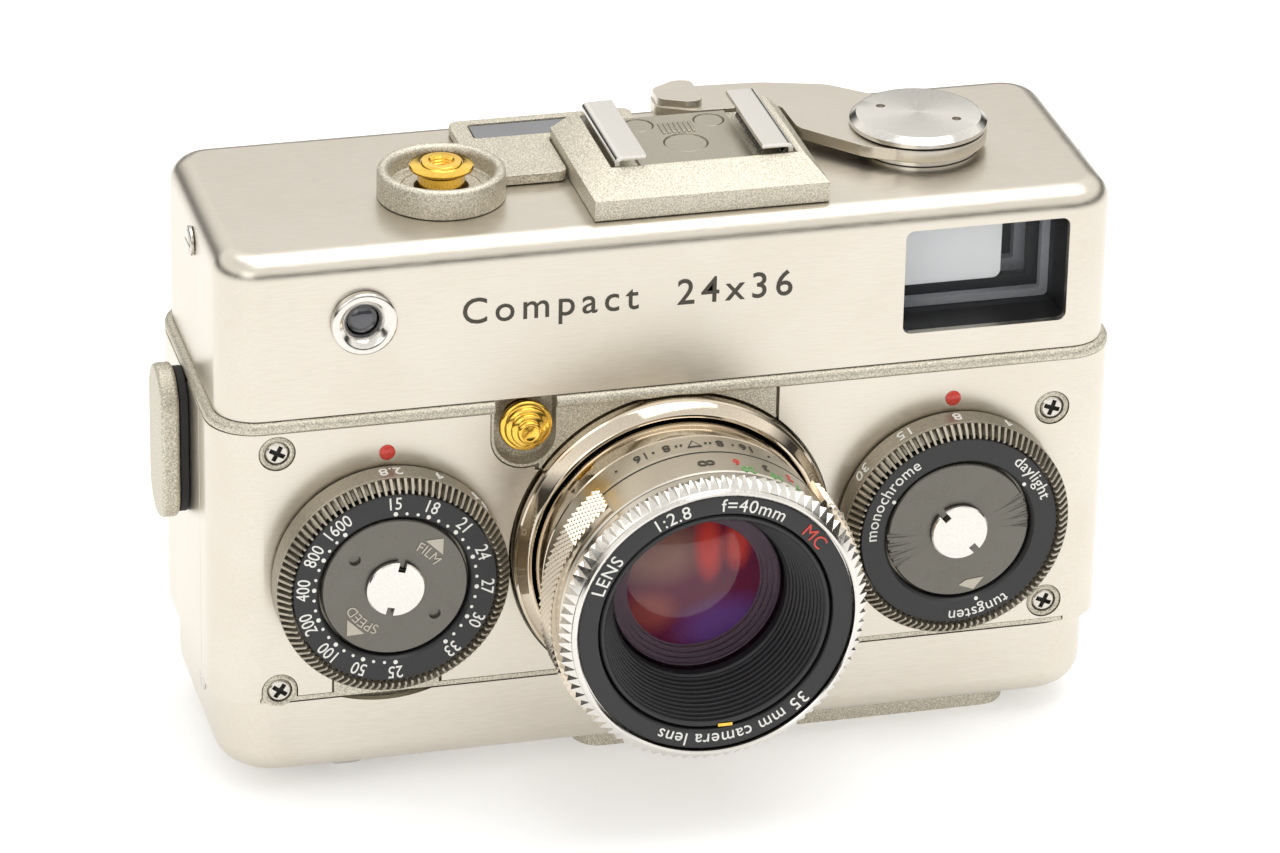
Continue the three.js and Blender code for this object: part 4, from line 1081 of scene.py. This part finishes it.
# %% Figures of the aperture dial
left, right = Vector((-DIAL_X, 0, AXIS_Z)), Vector((DIAL_X, 0, AXIS_Z))
RING_FACE, DRUM_MIDDLE = -20.22, -17.75
stops = [on_drum(letters(text, 1.55), left, DRUM["radius"], 25 * i, DRUM_MIDDLE)
         for i, text in enumerate(("2.8", "4", "5.6", "8", "11", "16", "22"))]
finish_piece("aperture_figures", gather(*stops), "white_marks", "aperture_dial")
STEP = 142 / 6
marks = []
for first, texts in ((0, ("15", "18", "21", "24", "27", "30", "33")), (180, ("25", "50", "100", "200", "400", "800", "1600"))):
    for i, text in enumerate(texts):
        marks.append(on_face(letters(text, 1.45, narrow=0.86), left, 9.95, first + STEP * i, RING_FACE))
    for i in range(19):
        marks.append(on_face(round_dot(0.24 if i % 3 == 0 else 0.17), left, 8.75, first + STEP * i / 3, RING_FACE))
finish_piece("film_speed_figures", gather(*marks), "white_marks", "aperture_dial")
print("aperture dial figures done")

# %% Figures of the shutter dial
speeds = [on_drum(letters(text, 1.55), right, DRUM["radius"], 28 * i, DRUM_MIDDLE)
          for i, text in enumerate(("500", "250", "125", "60", "30", "15", "8", "4", "2", "B"), start=-6)]
finish_piece("shutter_figures", gather(*speeds), "white_marks", "shutter_dial")
words = []
for angle, text in ((-60, "monochrome"), (55, "daylight"), (165, "tungsten")):
    words.append(on_face(letters(text, 1.35, spacing=1.05), right, 9.85, angle, RING_FACE))
    words.append(on_face(round_dot(0.22), right, 8.6, angle, RING_FACE))
finish_piece("film_type_words", gather(*words), "white_marks", "shutter_dial")

DISC_FACE = -19.92
arrow = [(-1.3, 0), (0, 1.25), (1.3, 0)]
left_signs, right_signs = [], []
for angle, word in ((45, "FILM"), (225, "SPEED")):
    left_signs.append(on_face(flat_shape(arrow), left, 6.1, angle, DISC_FACE))
    left_signs.append(on_face(letters(word, 1.15), left, 5.2, angle, DISC_FACE))
right_signs.append(on_face(flat_shape([(-1.35, 0.55), (0, 1.45), (1.35, 0.55), (0.5, 0.1)]), right, 6.1, 165, DISC_FACE))
finish_piece("film_speed_signs", gather(*left_signs), "smooth_champagne", "film_speed_disc")
finish_piece("film_type_sign", gather(*right_signs), "smooth_champagne", "film_type_disc")
print("shutter dial figures done")

# %% [markdown]
# The lens barrel
#
# The lens is a set of turned rings, one inside the other. A fixed bezel stands round the hole in
# the front. The bright tube slides in it, and near its front is a satin band with an index and a
# depth of field scale. In front of it come the focus ring and the front cell.

# %% Bezel and tube
LENS = Vector((0, 0, AXIS_Z))
bezel = [(15.7, -13.0), (17.4, -13.0), (17.4, -16.9), (17.32, -17.1), (17.12, -17.22), (17.02, -17.4), (16.3, -18.16),
         (16.1, -18.28), (15.9, -18.3), (15.76, -18.24), (15.7, -18.1)]
finish_piece("bezel_turned", turned("y", LENS, bezel, 256), "polished_nickel", "camera_body", ["lens_bezel"], 0.0, 25)
tube = [(14.3, -9.6), (15.4, -9.6), (15.5, -9.7), (15.5, -21.9), (15.38, -22.0), (15.38, -22.25), (15.46, -22.3),
        (15.46, -25.9), (15.3, -26.0), (13.6, -26.0), (13.6, -24.4), (14.3, -24.4)]
finish_piece("tube_turned", turned("y", LENS, tube, 256), "polished_nickel", "lens_tube", ["lens_tube"], 0.0, 25)
band = [(15.3, -22.3), (15.5, -22.3), (15.56, -22.38), (15.56, -25.8), (15.46, -25.92), (15.3, -25.92)]
finish_piece("tube_index_band", turned("y", LENS, band, 256), "satin_nickel", "lens_tube")

INDEX_ROW = -24.1
index = [on_drum(flat_shape([(-0.8, 0.75), (0.8, 0.75), (0, -0.75)]), LENS, 15.58, 0, INDEX_ROW),
         *[on_drum(letters(text, 1.35), LENS, 15.58, side * angle, INDEX_ROW)
           for side in (-1, 1) for angle, text in ((10.7, "8"), (21.5, "16"))],
         *[on_drum(round_dot(0.15), LENS, 15.58, side * angle, INDEX_ROW)
           for side in (-1, 1) for angle in (4.9, 6.8, 16, 32)]]
finish_piece("tube_index_figures", gather(*index), "dark_marks", "lens_tube")
inner_triangle = on_drum(flat_shape([(-0.5, 0.56), (0.5, 0.56), (0, -0.4)], 0.14), LENS, 15.585, 0, INDEX_ROW)
finish_piece("tube_index_inside", inner_triangle, "satin_nickel", "lens_tube")
print("bezel and tube done")

# %% [markdown]
# Diamond knurling
#
# A knurling wheel presses two crossing sets of grooves, so small pyramids are left in a lattice
# of diamonds. Poking each square of a grid and then dissolving the square's sides turns the lattice
# by 45 degrees. Poking those diamonds again, with an offset, raises the pyramids.

# %% Knurled grip of the focus ring
def knurled_grip(start, sweep):
    rear, front, valley, root, rows = -26.5, -31.15, 16.74, 15.7, 6
    pitch = (rear - front) / rows
    steps = round(math.radians(sweep) * valley / pitch)
    shape = bmesh.new()
    section = [(root, rear)] + [(valley, rear - pitch * i) for i in range(rows + 1)] + [(root, front)]
    corners_made = [shape.verts.new((0, y, AXIS_Z + radius)) for radius, y in section]
    sides = [shape.edges.new(pair) for pair in zip(corners_made, corners_made[1:] + corners_made[:1])]
    bmesh.ops.rotate(shape, cent=LENS, matrix=Matrix.Rotation(math.radians(start), 3, "Y"), verts=shape.verts)
    bmesh.ops.spin(shape, geom=corners_made + sides, cent=LENS, axis=(0, 1, 0), dvec=(0, 0, 0),
                   angle=math.radians(sweep), steps=steps, use_duplicate=False)
    bmesh.ops.holes_fill(shape, edges=shape.edges, sides=0)
    bmesh.ops.recalc_face_normals(shape, faces=shape.faces)

    def outer(face):
        return all(Vector((v.co.x, v.co.z - AXIS_Z)).length > valley - 0.01 for v in face.verts) and len(face.verts) == 4

    squares = [face for face in shape.faces if outer(face)]
    between_squares = [e for e in shape.edges if len(e.link_faces) == 2 and all(outer(f) for f in e.link_faces)]
    bmesh.ops.poke(shape, faces=squares, offset=0.0)
    bmesh.ops.dissolve_edges(shape, edges=between_squares, use_verts=False)
    diamonds = [face for face in shape.faces if outer(face)]
    bmesh.ops.poke(shape, faces=diamonds, offset=0.36)
    return shape


GRIP_START, GRIP_SWEEP = 48, 272
grip = knurled_grip(GRIP_START, GRIP_SWEEP)
print("knurled grip faces:", len(grip.faces))
finish_piece("focus_grip", grip, "polished_nickel", "focus_ring", (), 0.0, 20)
ring = [(14.0, -26.3), (15.75, -26.3), (15.9, -26.45), (15.9, -31.25), (15.75, -31.4), (14.0, -31.4)]
finish_piece("focus_band", turned("y", LENS, ring, 256), "satin_nickel", "focus_ring", ["focus_ring"], 0.0, 25)

# A near-black band on the focus ring: painted shade where a groove would be, as no groove is cut.
groove = [(15.6, -26.75), (15.915, -26.75), (15.915, -27.0), (15.6, -27.0)]
finish_piece("focus_groove_shade", turned("y", LENS, groove, 256), "dark_gap", "focus_ring")

# %% Distance figures
def distance(text, angle, row, size=1.35):
    return on_drum(letters(text, size, narrow=0.9), LENS, 15.92, angle, row)


METRE_ROW, FEET_ROW = -29.2, -30.7
endless = letters("8", 1.9)
bmesh.ops.rotate(endless, matrix=Matrix.Rotation(math.pi / 2, 3, "Z"), verts=endless.verts)
black_figures = [on_drum(endless, LENS, 15.92, 0, METRE_ROW - 0.2), distance("3", 24, METRE_ROW)]
red_figures = [distance("6", 12, METRE_ROW), distance("2", 35, METRE_ROW)]
green_figures = [distance("20", 15.5, FEET_ROW), distance("10", 27, FEET_ROW), distance("7", 37, FEET_ROW)]
finish_piece("distance_black", gather(*black_figures), "dark_marks", "focus_ring")
finish_piece("distance_red", gather(*red_figures), "red_marks", "focus_ring")
finish_piece("distance_green", gather(*green_figures), "green_marks", "focus_ring")
print("focus ring done")

# %% [markdown]
# Front cell
#
# The front ring has a crest, and ninety notches are cut across it, which leaves facets that
# sparkle. Inside it lie the name ring, a cone of fine black steps that stops stray light, and
# the coated front lens. Behind that lens a second one lies deeper, so the eye can look into it,
# and the colours in it are painted reflections.

# %% Toothed ring, name ring and stepped cone
def tooth_ring():
    profile = [(12.9, -27.0), (13.7, -27.0), (13.7, -31.65), (15.75, -31.65), (15.9, -31.8), (15.9, -33.0),
               (16.6, -33.8), (15.75, -34.75), (15.55, -34.9), (15.5, -35.1), (15.25, -35.36), (15.05, -35.4), (14.93, -35.3), (14.9, -35.1),
               (14.9, -33.9), (12.9, -33.9)]
    size, depth = 1.3, 0.62
    notch = rod("y", (0, 0, AXIS_Z + 16.6 + size - depth), size, -35.2, -32.6, 4)
    bmesh.ops.scale(notch, vec=(0.85, 1, 1), verts=notch.verts)
    bmesh.ops.rotate(notch, cent=(0, -33.8, AXIS_Z + 16.6 - depth), matrix=Matrix.Rotation(math.radians(22), 3, "X"),
                     verts=notch.verts)
    return cut(turned("y", LENS, profile, 180), ring_of(notch, LENS, 90))


finish_piece("front_teeth", tooth_ring(), "bright_chrome", "front_cell", ["front_tooth_ring"], 0.0, 18)
name_band = [(12.6, -34.1), (14.75, -34.1), (14.75, -34.9), (14.6, -35.0), (12.85, -35.0), (12.68, -34.9), (12.6, -34.7)]
finish_piece("name_band", turned("y", LENS, name_band, 256), "black_lacquer", "front_cell", ["name_ring"])

cone = [(12.4, -27.4), (12.4, -34.55), (12.25, -34.72), (11.95, -34.72), (11.8, -34.55)]
for i in range(10):
    radius, y = 11.60 - 0.22 * i, -34.3 + 0.56 * i
    cone += [(radius + 0.26, y), (radius + 0.26, y + 0.2), (radius + 0.05, y + 0.24), (radius, y + 0.3), (radius, y + 0.54)]
cone += [(9.4, -28.5), (9.4, -27.4)]
finish_piece("stepped_cone", turned("y", LENS, cone, 160), "black_plastic", "front_cell", ["front_cone"], 0.0, 30)

NAME_FACE, NAME_RADIUS = -35.02, 13.72
white_words = [on_face(letters(text, 1.48, spacing=1.08), LENS, NAME_RADIUS, angle, NAME_FACE)
               for text, angle in (("LENS", -60), ("1:2.8", -21), ("f=40mm", 16), ("35 mm camera lens", 170))]
finish_piece("name_words", gather(*white_words), "white_marks", "front_cell")
coating = on_face(letters("MC", 1.48, spacing=1.08), LENS, NAME_RADIUS, 49, NAME_FACE)
finish_piece("name_coating", coating, "red_marks", "front_cell")
tab = brick(0.5, 2.1, -34.86, -34.5, AXIS_Z - 12.42, AXIS_Z - 12.0)
finish_piece("cone_tab", tab, "gold_plate", "front_cell", (), 0.06)
print("front cell rings done")

# %% Lenses
def lens_shape(radius, front, bulge, thickness):
    """A round lens, with a front that bulges towards the subject."""
    outline = [(radius * i / 12, front + bulge * (i / 12) ** 2) for i in range(13)]
    back = front + thickness
    return turned("y", LENS, outline + [(radius, back - 0.2), (radius - 0.15, back), (0, back)], 128)


finish_piece("front_element", lens_shape(9.1, -29.6, 1.7, 2.5), "coated_glass", "front_cell", ["front_lens"], 0.0, 50)
cell = [(9.1, -27.0)] + [(r, y) for i in range(6) for r, y in ((9.0 - 0.5 * i, -26.9 + 0.3 * i), (9.0 - 0.5 * i, -26.6 + 0.3 * i))]
cell += [(6.2, -25.1), (6.2, -24.6), (9.1, -24.6)]
finish_piece("lens_cell_steps", turned("y", LENS, cell, 128), "violet_black", "front_cell")
# The second lens wears deep_glass, whose patches of colour are painted reflections.
finish_piece("second_element", lens_shape(8.2, -26.95, 1.6, 2.2), "deep_glass", "front_cell", (), 0.0, 50)
print("lenses done")

# %% Lens lock button
lock = [(0, -12.4), (1.9, -12.4), (1.9, -15.4), (2.7, -15.4), (2.85, -15.55), (2.85, -16.0), (2.75, -16.15), (2.6, -16.2),
        (2.42, -16.22), (2.35, -16.3), (2.35, -16.65), (2.25, -16.78), (1.95, -16.82), (1.85, -16.9), (1.85, -17.25),
        (1.75, -17.38), (1.4, -17.42), (1.3, -17.5), (1.3, -17.75), (1.15, -17.95), (0.9, -18.0), (0.75, -17.9), (0, -17.85)]
finish_piece("lock_button", turned("y", (LOCK.x, 0, LOCK.z), lock, 96), "gold_plate", "lens_lock", ["lens_lock_button"], 0.0, 50)
title = letters("Compact  24x36", 3.0, spacing=1.28, heavy=0.012)
bmesh.ops.rotate(title, matrix=Matrix.Rotation(math.pi / 2, 3, "X"), verts=title.verts)
bmesh.ops.translate(title, vec=(-5.1, COVER_LOW.y - 0.01, 55.0), verts=title.verts)
finish_piece("cover_title", title, "dark_marks", "camera_body")
print("lock button and title done")

# %% [markdown]
# Light and floor
#
# Metal is drawn by what it mirrors. A white table fills the front, the room behind is grey, which
# keeps the top calm, and a large soft box overhead draws a bright line along each rounded edge. The
# room is a gradient on height alone, with its dark part low, for the dark bands on round metal.

# %% Room
world = bpy.data.worlds.new("room")
bpy.context.scene.world = world
world.use_nodes = True
tree = world.node_tree
coordinates = tree.nodes.new("ShaderNodeTexCoord")
separate = tree.nodes.new("ShaderNodeSeparateXYZ")
ramp = tree.nodes.new("ShaderNodeValToRGB")
ramp.color_ramp.elements[0].color = (0.05, 0.045, 0.035, 1)
ramp.color_ramp.elements[1].color = (0.9, 0.9, 0.9, 1)
for height, level in ((0.22, 0.07), (0.33, 0.7), (0.42, 1.30), (0.7, 1.05)):
    ramp.color_ramp.elements.new(height).color = (level, level * 0.985, level * 0.95, 1)
link(tree, coordinates.outputs["Generated"], separate.inputs["Vector"])
link(tree, separate.outputs["Z"], ramp.inputs["Fac"])
link(tree, ramp.outputs["Color"], tree.nodes["Background"].inputs["Color"])
print("room done")

# %% Soft boxes and table
def soft_box(name, place, target, width, depth, watts):
    data = bpy.data.lights.new(name, "AREA")
    data.shape, data.size, data.size_y, data.energy = "RECTANGLE", width, depth, watts
    lamp = bpy.data.objects.new(name, data)
    lamp.location = place
    lamp.rotation_euler = (Vector(target) - Vector(place)).to_track_quat("-Z", "Y").to_euler()
    bpy.context.scene.collection.objects.link(lamp)


soft_box("overhead", (0.06, 0.02, 0.52), (0, 0, 0.03), 0.55, 0.40, 1.40)
soft_box("front_fill", (-0.35, -0.60, 0.30), (0, 0, 0.03), 0.35, 0.35, 0.45)
table = bpy.data.meshes.new("table")
top = bmesh.new()
bmesh.ops.create_grid(top, x_segments=1, y_segments=1, size=4)
top.to_mesh(table)
top.free()
paper = surface("table_white", (0.80, 0.80, 0.80), (0.78, 0.78, 0.78), (0.8, 0.9), (0.05, 0.05, 0.05), 0.0, 0.0)
paper.inputs["Emission Color"].default_value = (1, 1, 1, 1)
paper.inputs["Emission Strength"].default_value = 0.38
table.materials.append(finishes["table_white"])
floor = bpy.data.objects.new("table", table)
bpy.context.scene.collection.objects.link(floor)
bpy.context.scene.view_settings.view_transform = "Standard"

# %% Camera
azimuth, elevation, roll, distance_away = math.radians(-14.873), math.radians(26.127), math.radians(1.195), 0.6784
away = Vector((math.sin(azimuth) * math.cos(elevation), -math.cos(azimuth) * math.cos(elevation), math.sin(elevation)))
view = bpy.data.objects.new("view", bpy.data.cameras.new("view"))
view.data.lens, view.data.sensor_width, view.data.clip_end = 175.9, 36.0, 20
turned_view = away.to_track_quat("Z", "Y").to_matrix() @ Matrix.Rotation(roll, 3, "Z")
view.matrix_world = Matrix.Translation(Vector((0.000624, 0, 0.032162)) + away * distance_away) @ turned_view.to_4x4()
bpy.context.scene.collection.objects.link(view)
bpy.context.scene.camera = view
print("camera looks from", [round(c, 3) for c in view.location])
